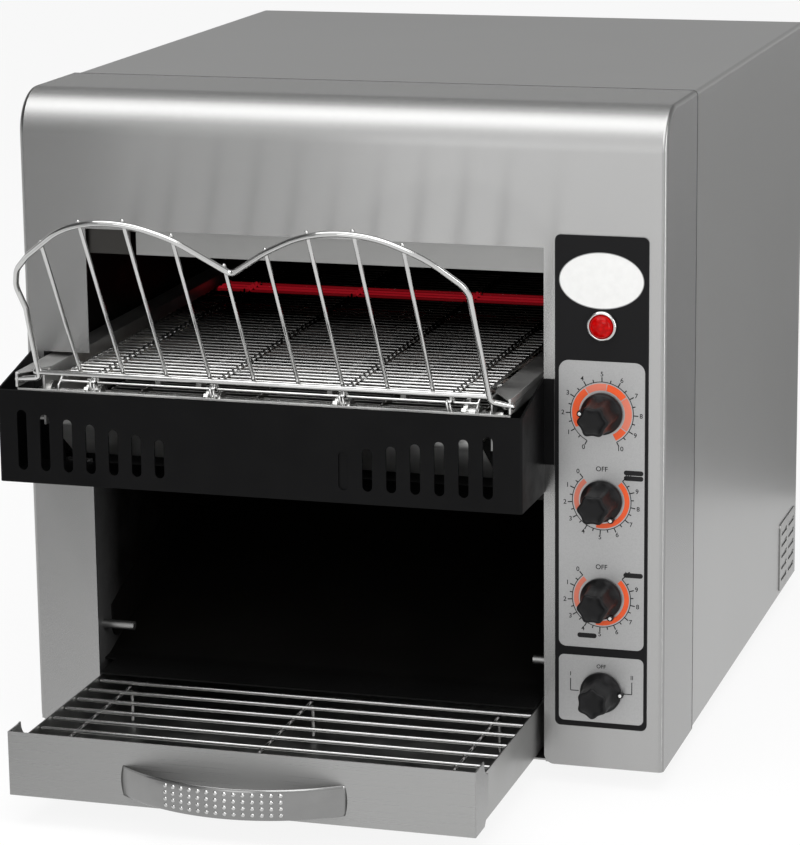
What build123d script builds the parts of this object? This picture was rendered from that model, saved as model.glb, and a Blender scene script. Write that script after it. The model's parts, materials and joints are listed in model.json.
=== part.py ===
"""Countertop conveyor toaster, two slices wide, as an assembly of separate pieces.

Millimetres. The model is drawn in a bench frame: x runs right from the left side of the casing,
y runs back from the front face, z runs up from the underside of the casing (the feet are below).
PLACE then moves it to the part's own frame: origin on the table under the middle of the whole
plan, +Z up, the front face looking along -Y.
"""
from build123d import *
import math
import os

# ---------------------------------------------------------------- driving dimensions
BODY_W, BODY_D, BODY_H = 368.0, 418.0, 366.0
FOOT_H, FOOT_R, FOOT_SIDE_IN, FOOT_END_IN = 12.0, 14.0, 40.0, 62.0
CASE_T = 1.0                      # casing sheet
FRONT_WRAP = 79.0                 # how far the front shell wraps back over the top and sides
TUCK = 7.0                        # how far the cover and the base tuck under the front shell
HEM = 12.0                        # turned-in lower edge of the front shell
TOP_BEND_R = 24.0                 # bend between front face and top
EDGE_R = 3.0                      # bends along the upright edges
CORNER_R = 5.5                    # rounded lower left corners of the front shell and its right column

OPEN_L, OPEN_R, OPEN_TOP = 38.0, 301.0, 290.0      # mouth in the front face
NOTCH_L, NOTCH_BOT, NOTCH_TOP = 10.5, 158.0, 219.0  # lets the conveyor frame out beside the mouth
WALL_T = 1.0
WALL_UP_L, WALL_LOW_L, WALL_R = 9.0, 34.0, 302.0    # outer faces of the inner walls
SHELF_Z = 152.0
WALL_BOT, WALL_TOP = 2.0, 332.0
WALL_FRONT, WALL_REAR = 3.0, 400.0

# conveyor
CONV_MID = 154.0                  # centre plane of conveyor and guard
RAIL_IN, RAIL_OUT = 127.5, 141.0  # rail web and rail lip, from that plane
RAIL_TOP, RAIL_BOT = 217.0, 186.0
RAIL_FRONT, RAIL_REAR = -47.0, 328.0
RAIL_T, RAIL_LIP, RAIL_FOOT = 1.2, 8.5, 9.0
BELT_HALF = 120.5
BELT_PITCH = 7.6
WIRE_D = 1.4
SPROCKET_PITCHES = 10             # belt pitches in one turn of a sprocket
SPAN_PITCHES = 44                 # belt pitches from shaft to shaft
PITCH_R = BELT_PITCH * SPROCKET_PITCHES / (2 * math.pi)
BELT_TOP = 213.5
SHAFT_Z = BELT_TOP - WIRE_D / 2 - PITCH_R
SHAFT_D, BUSH_OUT_D = 8.0, 12.0
FRONT_SHAFT_Y = -27.0
REAR_SHAFT_Y = FRONT_SHAFT_Y + SPAN_PITCHES * BELT_PITCH
SPROCKET_OFFSETS = (-104.0, -34.0, 40.0, 112.0)     # from the centre plane
SPROCKET_TIP_R = PITCH_R - WIRE_D / 2 - 0.4

# heating tubes: distances back from the front face, heights, and the ends they reach to
TUBE_D, TUBE_HOLDER = 9.0, 8.0
TUBE_Y_TOP, TUBE_Y_LOW = (70, 130, 190, 250), (60, 120, 180, 240)
TUBE_Z_TOP, TUBE_Z_LOW = 284.0, 199.0
TUBE_CAP, CEILING_Z = 10.0, 296.0
CHAMBER = (WALL_UP_L + WALL_T, WALL_R)
BETWEEN_RAILS = (CONV_MID - RAIL_IN, CONV_MID + RAIL_IN)

# front trough and apron
TROUGH_L, TROUGH_R = 2.4, 301.4
TROUGH_DEEP, TROUGH_BOT, TROUGH_TOP, TROUGH_BACK_TOP = 49.0, 155.0, 207.0, 218.5
SLOT_W, SLOT_BOT = 5.6, 162.2
SLOTS_LEFT_X, SLOTS_RIGHT_X, SLOT_STEP, SLOT_COUNT = 16.6, 282.7, 13.4, 7
SLOT_TALL, SLOT_SHORT = 34.0, 21.5

# guard; heights are measured up its leaning plane
GUARD_FOOT_Y, GUARD_FOOT_Z = -48.0, 209.0
GUARD_PIVOT_Y, GUARD_PIVOT_Z = -43.5, 212.0
GUARD_LEAN = 31.5                 # degrees out from upright
GUARD_WIRE_D, GUARD_ROD_D = 3.2, 2.2
GUARD_HALF, GUARD_FOOT, GUARD_PIN_IN = 128.5, 143.8, 136.5
GUARD_HIGH, GUARD_DIP, GUARD_BAR = 123.5, 88.0, 12.5
GUARD_ROD_STEP, GUARD_ROD_COUNT = 25.0, 9

# tray
TRAY_OUT = 126.0                  # how far it stands pulled out
TRAY_L, TRAY_R = 41.0, 298.0
TRAY_FLOOR, TRAY_WALL_TOP, TRAY_REAR = 6.0, 32.3, 150.0
FASCIA_L, FASCIA_R, FASCIA_BOT, FASCIA_TOP = 39.5, 299.5, 5.0, 40.6
FASCIA_FRONT = -11.0 - TRAY_OUT
HANDLE_MID, HANDLE_HALF, HANDLE_BOW, HANDLE_BOT, HANDLE_TOP, HANDLE_T = 167.0, 63.0, 21.5, 10.5, 27.5, 2.0

# controls
PANEL_L, PANEL_R, PANEL_BOT, PANEL_TOP, PANEL_T, PANEL_CORNER = 307.5, 358.6, 23.6, 297.6, 0.8, 3.0
KNOB_X = 333.4
KNOB_Z = {"speed": 201.0, "top_heat": 152.5, "bottom_heat": 97.6, "power": 44.0}
LAMP_Z, LAMP_HOLE_D, LENS_BODY_R, LENS_SEAT = 249.0, 11.0, 4.5, 0.6
KNOB_SKIRT_R, KNOB_SKIRT_T, KNOB_GRIP_R, KNOB_FLAT, KNOB_TALL = 11.5, 3.2, 8.8, 7.0, 22.0
KNOB_GAP = PANEL_T + 0.6          # from the casing to the back of a knob
KNOB_BORE = KNOB_TALL - 4
SPINDLE_D, BUSH_D, BUSH_BORE = 6.0, 8.0, 6.1

# drive
MOTOR_SHAFT_Y, MOTOR_SHAFT_Z, MOTOR_SHELF_Z = 330.0, 128.0, 104.0
CHAIN_X = 316.5
CHAIN_WIDE, CHAIN_TALL, CHAIN_GAP, CHAIN_TOOTH, CHAIN_WHEEL_T = 4.0, 4.4, 0.4, 1.8, 2.4
DRIVE_SPROCKET_R, MOTOR_SPROCKET_R = 13.0, 9.0
FAN_X, FAN_Z, FAN_SIZE, FAN_REAR, FAN_PIN_D = 334.0, 70.0, 56.0, 415.0, 4.0

BACK_Y = BODY_D - 3               # inner face of the back panel
GLAND_LONG, GLAND_Z, GLAND_HOLE_D, GLAND_BORE, GLAND_NUT_R = 7.0, 24.0, 14.0, 9.0, 10.0
PLAN_MID_Y = (FASCIA_FRONT - HANDLE_BOW - HANDLE_T / 2 + BODY_D + GLAND_LONG) / 2
PLACE = Pos(-BODY_W / 2, -PLAN_MID_Y, FOOT_H)

BASE = (Align.CENTER, Align.CENTER, Align.MIN)      # solids that stand on the drawing plane


# ---------------------------------------------------------------- drawing helpers
def block(x0, x1, y0, y1, z0, z1):
    """Box between two corners."""
    return Pos((x0 + x1) / 2, (y0 + y1) / 2, (z0 + z1) / 2) * Box(x1 - x0, y1 - y0, z1 - z0)


def rod_x(x0, x1, y, z, d):
    return Pos((x0 + x1) / 2, y, z) * Rot(0, 90, 0) * Cylinder(d / 2, x1 - x0)


def rod_y(x, y0, y1, z, d):
    return Pos(x, (y0 + y1) / 2, z) * Rot(90, 0, 0) * Cylinder(d / 2, y1 - y0)


def rod_z(x, y, z0, z1, d):
    return Pos(x, y, (z0 + z1) / 2) * Cylinder(d / 2, z1 - z0)


def across(profile, x0, x1):
    """Extrude a profile drawn in (y, z) from x0 to x1."""
    return Pos(x0, 0, 0) * extrude(Plane.YZ * profile, amount=x1 - x0)


def facing(profile, y0, y1):
    """Extrude a profile drawn in (x, z) from y0 back to y1."""
    return Pos(0, y1, 0) * extrude(Plane.XZ * profile, amount=y1 - y0)


def bent_sheet(points, x0, x1, thick, radius):
    """Sheet folded along the (y, z) points, its middle surface on them."""
    return across(trace(FilletPolyline(*points, radius=radius), thick), x0, x1)


def slots(xs, zs, long, high, y0, y1):
    """Round-ended slots through a sheet that faces front or back."""
    cells = Sketch() + [Pos(x, z) * SlotOverall(long, high) for x in xs for z in zs]
    return facing(cells, y0, y1)


def steps(first, step, count):
    return [first + step * i for i in range(count)]


# ---------------------------------------------------------------- casing
def front_shell():
    """One sheet bent over face, top and sides, with the mouth, the notch beside it and the control holes."""
    body = block(0, BODY_W, 0, FRONT_WRAP, 0, BODY_H)
    top_front = body.edges().filter_by(Axis.X).group_by(Axis.Z)[-1].sort_by(Axis.Y)[0]
    body = fillet(top_front, TOP_BEND_R)
    body = fillet(body.edges().filter_by(Axis.Z).group_by(Axis.Y)[0], EDGE_R)
    under, back = body.faces().sort_by(Axis.Z)[0], body.faces().sort_by(Axis.Y)[-1]
    shell = offset(body, amount=-CASE_T, openings=[under, back])
    hem = CASE_T + HEM
    shell += block(CASE_T, OPEN_L, CASE_T, hem, 0, CASE_T)
    shell += block(OPEN_R, BODY_W - CASE_T, CASE_T, hem, 0, CASE_T)
    shell -= block(OPEN_L, OPEN_R, -1, hem + 1, -1, OPEN_TOP)
    shell -= block(NOTCH_L, OPEN_L + 1, -1, CASE_T, NOTCH_BOT, NOTCH_TOP)
    corner = Rectangle(2 * CORNER_R, 2 * CORNER_R) - Pos(CORNER_R, CORNER_R) * Circle(CORNER_R)
    corner &= Pos(CORNER_R / 2, CORNER_R / 2) * Rectangle(CORNER_R, CORNER_R)
    shell -= facing(corner + Pos(OPEN_R, 0) * corner, -1, EDGE_R)
    for z in KNOB_Z.values():
        shell -= rod_y(KNOB_X, -1, CASE_T, z, BUSH_D)
    return shell - rod_y(KNOB_X, -1, CASE_T, LAMP_Z, LAMP_HOLE_D)


def body_cover():
    """One sheet folded over the top and both sides, its front edge tucked under the front shell."""
    lip, rise, bend_r = CASE_T, BODY_H - CASE_T, 2.5
    vent_long, vent_high = 24, 4
    vent_ys, vent_zs = steps(150, 36, 5), steps(60, 10, 5)
    outer = block(lip, BODY_W - lip, FRONT_WRAP - TUCK, BODY_D, 0, rise)
    outer = fillet(outer.edges().filter_by(Axis.Y).group_by(Axis.Z)[-1], bend_r)
    inner = block(2 * lip, BODY_W - 2 * lip, 0, BODY_D + 1, -1, rise - CASE_T)
    cover = outer - fillet(inner.edges().filter_by(Axis.Y).group_by(Axis.Z)[-1], bend_r - CASE_T)
    vents = Sketch() + [Pos(y, z) * SlotOverall(vent_long, vent_high) for y in vent_ys for z in vent_zs]
    return cover - across(vents, 0, 3 * lip)


def side_vent_plate():
    """Slotted cover plate low down at the back of the right side."""
    mid_y, mid_z, long, high, corner_r, thick = 385, 24.5, 54, 45, 3, 0.8
    slot_long, slot_high, slot_ys, slot_zs = 20, 3, (mid_y - 12.5, mid_y + 12.5), steps(9.5, 7.6, 5)
    plate = Pos(mid_y, mid_z) * RectangleRounded(long, high, corner_r)
    holes = Sketch() + [Pos(y, z) * SlotOverall(slot_long, slot_high) for y in slot_ys for z in slot_zs]
    return across(plate - holes, BODY_W - CASE_T, BODY_W - CASE_T + thick)


def back_panel():
    """Back sheet with side flanges, two fields of vents, a round grille for the fan and the cord's hole."""
    y0, edge, flange, corner_r = BACK_Y, 2 * CASE_T, 11, 2
    vent_long, vent_high, vent_xs = 28, 4.5, steps(55, 38, 6)
    grille_r, grille_step, grille_high = 24, 6.4, 3.6
    panel = block(edge, BODY_W - edge, y0, y0 + CASE_T, edge, BODY_H - edge)
    panel = fillet(panel.edges().filter_by(Axis.Y).group_by(Axis.Z)[-1], corner_r)
    for x0 in (edge, BODY_W - edge - CASE_T):
        panel += block(x0, x0 + CASE_T, y0 - flange, y0, edge, BODY_H - edge - 3)
    for vent_zs in (steps(236, 11, 8), steps(46, 11, 4)):
        panel -= slots(vent_xs, vent_zs, vent_long, vent_high, y0, y0 + CASE_T)
    for i in range(-3, 4):
        half = math.sqrt(grille_r ** 2 - (grille_step * i) ** 2)
        panel -= slots([FAN_X], [FAN_Z + grille_step * i], 2 * half, grille_high, y0, y0 + CASE_T)
    return panel - rod_y(FAN_X, y0, y0 + CASE_T, GLAND_Z, GLAND_HOLE_D)


def base_pan():
    """Floor sheet with a flange up each side and slots under the motor and the chamber."""
    edge, flange_top, vent_long, vent_high = 2 * CASE_T, 16, 34, 5
    vent_xs, vent_ys = steps(90, 50, 4), steps(230, 16, 8)
    floor = block(edge, BODY_W - edge, edge, BACK_Y - CASE_T, CASE_T, 2 * CASE_T)
    for x0 in (edge, BODY_W - edge - CASE_T):
        floor += block(x0, x0 + CASE_T, FRONT_WRAP - TUCK, BACK_Y - 12, CASE_T, flange_top)
    vents = Sketch() + [Pos(x, y) * SlotOverall(vent_long, vent_high) for x in vent_xs for y in vent_ys]
    return floor - extrude(vents, amount=3 * CASE_T)


def feet():
    """Four rubber feet with a recessed screw hole each."""
    flare, recess, recess_d = 2, 5, 11
    group = []
    for x in (FOOT_SIDE_IN, BODY_W - FOOT_SIDE_IN):
        for y in (FOOT_END_IN, BODY_D - FOOT_END_IN):
            foot = Pos(x, y, (CASE_T - FOOT_H) / 2) * Cone(FOOT_R, FOOT_R + flare, FOOT_H + CASE_T)
            foot -= rod_z(x, y, -FOOT_H - 1, -FOOT_H + recess, recess_d)
            group.append(foot)
    return Compound(children=group)


# ---------------------------------------------------------------- inner casing
def inner_wall_left():
    """Wall beside the tray, a shelf, and a wall further out beside the conveyor."""
    low = block(WALL_LOW_L, WALL_LOW_L + WALL_T, WALL_FRONT, WALL_REAR, WALL_BOT, SHELF_Z + WALL_T)
    shelf = block(WALL_UP_L, WALL_LOW_L + WALL_T, WALL_FRONT, WALL_REAR, SHELF_Z, SHELF_Z + WALL_T)
    upper = block(WALL_UP_L, WALL_UP_L + WALL_T, WALL_FRONT, WALL_REAR, SHELF_Z, WALL_TOP)
    return low + shelf + upper


def inner_wall_right():
    """Straight wall between the chamber and the controls, with the hole for the rear shaft."""
    wall = block(WALL_R, WALL_R + WALL_T, WALL_FRONT, WALL_REAR, WALL_BOT, WALL_TOP)
    return wall - rod_x(WALL_R - 1, WALL_R + 2, REAR_SHAFT_Y, SHAFT_Z, BUSH_OUT_D)


def heat_baffle():
    """Strip that hangs behind the top of the mouth, with a short slot beside its left end tab."""
    left, y0, bottom, top, ledge = WALL_UP_L + WALL_T, 4, 275.6, 312, 22
    slot_x0, slot_x1, slot_top = 63.3, 66.6, 288.6
    strip = block(left, WALL_R, y0, y0 + WALL_T, bottom, top)
    strip += block(left, WALL_R, y0, y0 + ledge, top - WALL_T, top)
    return strip - block(slot_x0, slot_x1, y0 - 1, y0 + 2, bottom - 1, slot_top)


def top_reflector():
    """Ceiling of the toasting chamber, folded to a ridge over each heating tube."""
    front, rear, high = 8, WALL_REAR - 16, CEILING_Z + 10
    points = [(front, CEILING_Z)]
    for y in TUBE_Y_TOP:
        points += [(y - 22, CEILING_Z), (y - 10, high), (y + 10, high), (y + 22, CEILING_Z)]
    points.append((rear, CEILING_Z))
    return bent_sheet(points, *CHAMBER, 0.8, 2)


def heating_tubes(ys, z, ends):
    """Quartz tubes with a metal cap on each end."""
    group = []
    x0, x1 = ends
    for y in ys:
        tube = rod_x(x0 + TUBE_CAP, x1 - TUBE_CAP, y, z, TUBE_D)
        tube += rod_x(x0, x0 + TUBE_CAP, y, z, TUBE_D - 2)
        group.append(tube + rod_x(x1 - TUBE_CAP, x1, y, z, TUBE_D - 2))
    return Compound(children=group)


def tube_holders():
    """Ceramic blocks that hold the tube ends, on the side walls and on the rail webs."""
    group = []
    upper = (TUBE_Y_TOP, TUBE_Z_TOP, CHAMBER, 10)
    lower = (TUBE_Y_LOW, TUBE_Z_LOW, BETWEEN_RAILS, 6)
    for ys, z, ends, half in (upper, lower):
        for y in ys:
            for a, b in ((ends[0], ends[0] + TUBE_HOLDER), (ends[1] - TUBE_HOLDER, ends[1])):
                holder = block(a, b, y - half, y + half, z - half, z + half)
                group.append(holder - rod_x(a - 1, b + 1, y, z, TUBE_D - 2))
    return Compound(children=group)


def chamber_floor():
    """Shield under the returning belt, with a cross-member folded up behind the trough."""
    floor_z, front, fold_top = 160, 2.5, 184
    points = [(front, fold_top), (front, floor_z), (REAR_SHAFT_Y + 8, floor_z)]
    floor = bent_sheet(points, *CHAMBER, WALL_T, 2)
    return floor + block(WALL_LOW_L + WALL_T, WALL_R, 2, 3, floor_z - 10, floor_z + 3)


def rear_deflector():
    """Curved sheet behind the belt that turns the toast down into the chute."""
    bulge, bottom = (WALL_REAR - 8, 210), (WALL_REAR - 28, 154)
    return bent_sheet([(WALL_REAR - 14, CEILING_Z), bulge, bottom], *CHAMBER, WALL_T, 60)


def discharge_chute():
    """Slide that brings the toast forward to the tray, with a cheek on each side."""
    left, right = WALL_LOW_L + WALL_T, WALL_R
    low_bend, high_bend, top = (84, 56), (300, 122), (366, 148)
    line = [(-8, 33.8), (24, 35.5), low_bend, high_bend, (WALL_REAR - 32, 149)]
    slide = bent_sheet(line, left, right, WALL_T, 20)
    cheek = [(28, 41), low_bend, high_bend, top, (366, 150), (300, 150), (84, 84), (28, 64)]
    face = make_face(Polyline(*cheek, close=True))
    face = fillet(face.vertices().sort_by(Axis.Y)[0], 8)
    for x0 in (left, right - WALL_T):
        slide += across(face, x0, x0 + WALL_T)
    room = 16                     # clears the tray front's side returns when the tray is shut
    slide -= block(left - 1, FASCIA_L + CASE_T + 1, -9, room, 30, 40)
    return slide - block(FASCIA_R - CASE_T - 1, right + 1, -9, room, 30, 40)


def chute_pins():
    """Round pins in the side walls that the chute hangs on."""
    pin_d, pin_y, left_end, right_end = 5, 16, 54, 291
    left = rod_x(WALL_LOW_L + WALL_T, left_end, pin_y, 56, pin_d)
    right = rod_x(right_end, WALL_R, pin_y, 54.5, pin_d)
    return Compound(children=[left, right])


# ---------------------------------------------------------------- conveyor
def conveyor_rail(side):
    """Channel with a hanging outer lip; side is -1 for the left rail and 1 for the right."""
    web = block(RAIL_IN, RAIL_IN + RAIL_T, RAIL_FRONT + 9, RAIL_REAR, RAIL_BOT, RAIL_TOP)
    top = block(RAIL_IN, RAIL_OUT, RAIL_FRONT, RAIL_REAR, RAIL_TOP - RAIL_T, RAIL_TOP)
    lip = block(RAIL_OUT - RAIL_T, RAIL_OUT, RAIL_FRONT, RAIL_REAR, RAIL_TOP - RAIL_LIP, RAIL_TOP)
    foot = block(RAIL_IN, RAIL_IN + RAIL_FOOT, RAIL_FRONT + 20, RAIL_REAR, RAIL_BOT, RAIL_BOT + RAIL_T)
    nose = make_face(Polyline((RAIL_IN, RAIL_FRONT), (RAIL_OUT - 1.5, RAIL_FRONT), (RAIL_IN, RAIL_FRONT + 19),
                              close=True))
    rail = web + top + lip + foot - Pos(0, 0, RAIL_TOP - RAIL_T - 0.3) * extrude(nose, amount=2)
    for y in (FRONT_SHAFT_Y, REAR_SHAFT_Y):
        rail -= rod_x(RAIL_IN - 1, RAIL_IN + 3, y, SHAFT_Z, BUSH_OUT_D)
    rail -= rod_x(RAIL_OUT - 2 * RAIL_T, RAIL_OUT + 1, GUARD_PIVOT_Y, GUARD_PIVOT_Z, GUARD_WIRE_D + 0.2)
    rail = rail if side > 0 else mirror(rail, Plane.YZ)
    return Pos(CONV_MID, 0, 0) * rail


def rail_spacers():
    """Studs between the rails and the side walls."""
    stud_d, z = 6, RAIL_TOP - RAIL_LIP / 2 - 0.25
    group = []
    for y in (30, 285):
        group.append(rod_x(CHAMBER[0], CONV_MID - RAIL_OUT, y, z, stud_d))
        group.append(rod_x(CONV_MID + RAIL_OUT, CHAMBER[1], y, z, stud_d))
    return Compound(children=group)


def shaft_bushes():
    """Flanged bushes in the rail webs."""
    flange_d, flange_t, through, fit = 16, 1.5, 5, 0.1
    group = []
    for y in (FRONT_SHAFT_Y, REAR_SHAFT_Y):
        for side in (-1, 1):
            inner = CONV_MID + side * (RAIL_IN - flange_t)
            outer = CONV_MID + side * (RAIL_IN + through)
            web = CONV_MID + side * RAIL_IN
            a, b = sorted((inner, outer))
            c, d = sorted((inner, web))
            bush = rod_x(a, b, y, SHAFT_Z, BUSH_OUT_D) + rod_x(c, d, y, SHAFT_Z, flange_d)
            group.append(bush - rod_x(a - 1, b + 1, y, SHAFT_Z, SHAFT_D + fit))
    return Compound(children=group)


def conveyor_shaft(y, right_end):
    """Plain shaft from the left bush out to right_end."""
    return rod_x(CONV_MID - RAIL_IN - 8, right_end, y, SHAFT_Z, SHAFT_D)


def toothed_disc(tip_r, teeth, depth, wide, bore_d):
    """Sprocket disc about the x axis, centred on the origin."""
    step = 2 * math.pi / teeth
    points = []
    for i in range(teeth):
        for turn, r in ((-0.30, tip_r - depth), (-0.14, tip_r), (0.14, tip_r), (0.30, tip_r - depth)):
            a = (i + turn) * step
            points.append((r * math.cos(a), r * math.sin(a)))
    disc = across(make_face(Polyline(*points, close=True)), -wide / 2, wide / 2)
    return disc - rod_x(-wide, wide, 0, 0, bore_d)


def belt_sprockets(y):
    """Four toothed discs with hubs, fixed on one shaft."""
    tooth, thick, hub_long, hub_d = 2.4, 2.4, 7, 14
    disc = toothed_disc(SPROCKET_TIP_R, SPROCKET_PITCHES, tooth, thick, SHAFT_D)
    hub = rod_x(thick / 2, hub_long, 0, 0, hub_d) - rod_x(0, hub_long + 1, 0, 0, SHAFT_D)
    return Compound(children=[Pos(CONV_MID + dx, y, SHAFT_Z) * (disc + hub) for dx in SPROCKET_OFFSETS])


def belt_stations():
    """(y, z) of every cross wire round the belt's racetrack."""
    stations = [(FRONT_SHAFT_Y + i * BELT_PITCH, SHAFT_Z + PITCH_R) for i in range(SPAN_PITCHES)]
    stations += arc_stations(REAR_SHAFT_Y, 90)
    stations += [(REAR_SHAFT_Y - i * BELT_PITCH, SHAFT_Z - PITCH_R) for i in range(SPAN_PITCHES)]
    return stations + arc_stations(FRONT_SHAFT_Y, 270)


def arc_stations(y, start):
    """Half a turn of stations round one shaft, from start degrees downwards."""
    turn = 360 / SPROCKET_PITCHES
    angles = [math.radians(start - i * turn) for i in range(SPROCKET_PITCHES // 2)]
    return [(y + PITCH_R * math.cos(a), SHAFT_Z + PITCH_R * math.sin(a)) for a in angles]


def racetrack(radius):
    """Outline round both shafts, drawn in (y, z)."""
    span = REAR_SHAFT_Y - FRONT_SHAFT_Y
    return Pos((FRONT_SHAFT_Y + REAR_SHAFT_Y) / 2, SHAFT_Z) * SlotCenterToCenter(span, 2 * radius)


def wire_belt():
    """Cross wires of the belt, tied by rows of links that follow the racetrack."""
    left, right = CONV_MID - BELT_HALF, CONV_MID + BELT_HALF
    wires = [rod_x(left, right, y, z, WIRE_D) for y, z in belt_stations()]
    half_high, half_wide, row_x = 0.5, 0.6, 40
    ring = racetrack(PITCH_R + half_high) - racetrack(PITCH_R - half_high)
    rows = (left + 2 * half_wide, CONV_MID - row_x, CONV_MID + row_x, right - 2 * half_wide)
    links = [across(ring, x - half_wide, x + half_wide) for x in rows]
    return links[0].fuse(*links[1:], *wires)


def belt_runners():
    """Bars under the carrying side of the belt, on two cross rods."""
    top, half, deep, rod_d = BELT_TOP - WIRE_D - 0.1, 1.5, 6, 4
    front, rear, rod_ys, bar_xs = -14, 286, (20, 215), (84, 108, 184, 226)
    bars = [block(x - half, x + half, front, rear, top - deep, top) for x in bar_xs]
    rods = [rod_x(*BETWEEN_RAILS, y, top - rod_d, rod_d) for y in rod_ys]
    return bars[0].fuse(*bars[1:], *rods)


# ---------------------------------------------------------------- front trough, apron, guard
def front_trough():
    """Black slotted trough that hangs under the front end of the belt."""
    t, bend_r = 1.2, 2
    lug_w, lug_bot, lug_top = 5.6, 171.0, TROUGH_BACK_TOP
    stay_l, stay_r, stay_bot, stay_top = 189, 205, 160, 196
    tab_end, tab_top = 22, 184
    side = make_face(Polyline((-TROUGH_DEEP, TROUGH_BOT), (0, TROUGH_BOT), (0, TROUGH_BACK_TOP),
                              (-TROUGH_DEEP, TROUGH_TOP), close=True))
    trough = across(side, TROUGH_L, TROUGH_R)
    trough = fillet(trough.edges().filter_by(Axis.Z).group_by(Axis.Y)[0], bend_r)
    trough -= across(side, TROUGH_L + t, TROUGH_R - t).moved(Location((0, t, t)))
    trough -= block(TROUGH_L + t, TROUGH_R - t, -TROUGH_DEEP + t, 1, TROUGH_TOP - 2, TROUGH_BACK_TOP + 1)
    lug = Pos(TROUGH_R + lug_w / 2, (lug_bot + lug_top) / 2) * Rectangle(lug_w, lug_top - lug_bot)
    trough += facing(lug, -t, 0)
    trough += block(TROUGH_L + t, tab_end, -t, 0, TROUGH_BOT, tab_top)
    for i in range(SLOT_COUNT):
        tall = SLOT_TALL + (SLOT_SHORT - SLOT_TALL) * i / (SLOT_COUNT - 1)
        for x in (SLOTS_LEFT_X + SLOT_STEP * i, SLOTS_RIGHT_X - SLOT_STEP * i):
            slot = Pos(x, SLOT_BOT + tall / 2) * SlotOverall(tall, SLOT_W, rotation=90)
            trough -= facing(slot, -TROUGH_DEEP - 1, -TROUGH_DEEP + t + 1)
    stay = block(stay_l, stay_r, -TROUGH_DEEP + t, -TROUGH_DEEP + 2 * t, stay_bot, stay_top)
    return trough + stay + block(stay_l, stay_l + t, -TROUGH_DEEP + t, -14, TROUGH_BOT + t, stay_bot + 4)


def front_apron():
    """Bright lipped sheet under the belt's front end that sheds crumbs back into the machine."""
    lip = bent_sheet([(-41, 201), (-44, 201), (-44, 207.5)], 13, 294, 0.8, 1)
    slope = bent_sheet([(-43, 201), (-40, 188), (-6, 163), (2, 163)], 30, 277, 0.8, 5)
    return lip + slope


def guard_point(x, height):
    """Point on the leaning plane of the guard."""
    lean = math.radians(GUARD_LEAN)
    return (CONV_MID + x, GUARD_FOOT_Y - height * math.sin(lean), GUARD_FOOT_Z + height * math.cos(lean))


def guard_outline(side):
    """Corners of the guard's main wire from pivot pin to the dip, with the bend radius at each."""
    pin_x = CONV_MID + side * GUARD_PIN_IN
    foot_x = CONV_MID + side * GUARD_FOOT
    corners = [(pin_x, GUARD_PIVOT_Y, GUARD_PIVOT_Z), (foot_x, GUARD_PIVOT_Y, GUARD_PIVOT_Z)]
    shape = [(GUARD_FOOT, 8), (GUARD_HALF, 20), (GUARD_HALF, 92), (88, GUARD_HIGH), (43, GUARD_HIGH)]
    return corners + [guard_point(side * x, h) for x, h in shape]


def guard_height(x):
    """Height of the main wire's middle up the guard, at a rod's distance from the centre."""
    x = abs(x)
    if x < 29:
        return GUARD_DIP + (GUARD_HIGH - GUARD_DIP) * x / 43
    edge = 61 - x if x < 61 else max(x - 71, 0)
    return GUARD_HIGH - (50 - math.sqrt(50 ** 2 - min(edge, 30) ** 2))


def wire_guard():
    """Toast guard: a double-humped wire, a bottom wire and upright rods, leaning out of the mouth."""
    right, left = guard_outline(1), guard_outline(-1)
    points = right + [guard_point(0, GUARD_DIP)] + left[::-1]
    bends = [2.7, 3.5, 8, 36, 50, 50]
    path = FilletPolyline(*points, radius=bends + [3] + bends[::-1])
    ring = Plane(origin=points[0], z_dir=(1, 0, 0)) * Circle(GUARD_WIRE_D / 2)
    guard = sweep(ring, path=path)
    foot = guard_point(0, GUARD_BAR)
    guard += rod_x(CONV_MID - GUARD_HALF, CONV_MID + GUARD_HALF, foot[1], foot[2], GUARD_WIRE_D - 0.2)
    lean = Rot(GUARD_LEAN, 0, 0)
    back = (GUARD_WIRE_D + GUARD_ROD_D) / 2 - 0.5
    for i in range(GUARD_ROD_COUNT):
        x = GUARD_ROD_STEP * (i - (GUARD_ROD_COUNT - 1) / 2)
        low, high = GUARD_BAR - 1.2, guard_height(x) + 2.2
        rod = lean * Pos(x, back, (low + high) / 2) * Cylinder(GUARD_ROD_D / 2, high - low)
        guard += Pos(CONV_MID, GUARD_FOOT_Y, GUARD_FOOT_Z) * rod
    return guard


# ---------------------------------------------------------------- tray
def tray_pan():
    """Open pan; its walls are low behind so that toast can slide over them."""
    t, low_from, low_top = 0.8, 30, 24
    y0, y1 = FASCIA_FRONT + CASE_T, TRAY_REAR
    pan = block(TRAY_L, TRAY_R, y0, y1, TRAY_FLOOR, TRAY_WALL_TOP)
    pan -= block(TRAY_L + t, TRAY_R - t, y0 + t, y1 - t, TRAY_FLOOR + t, TRAY_WALL_TOP + 1)
    return pan - block(TRAY_L - 1, TRAY_R + 1, low_from, y1 + 1, low_top, TRAY_WALL_TOP + 1)


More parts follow.
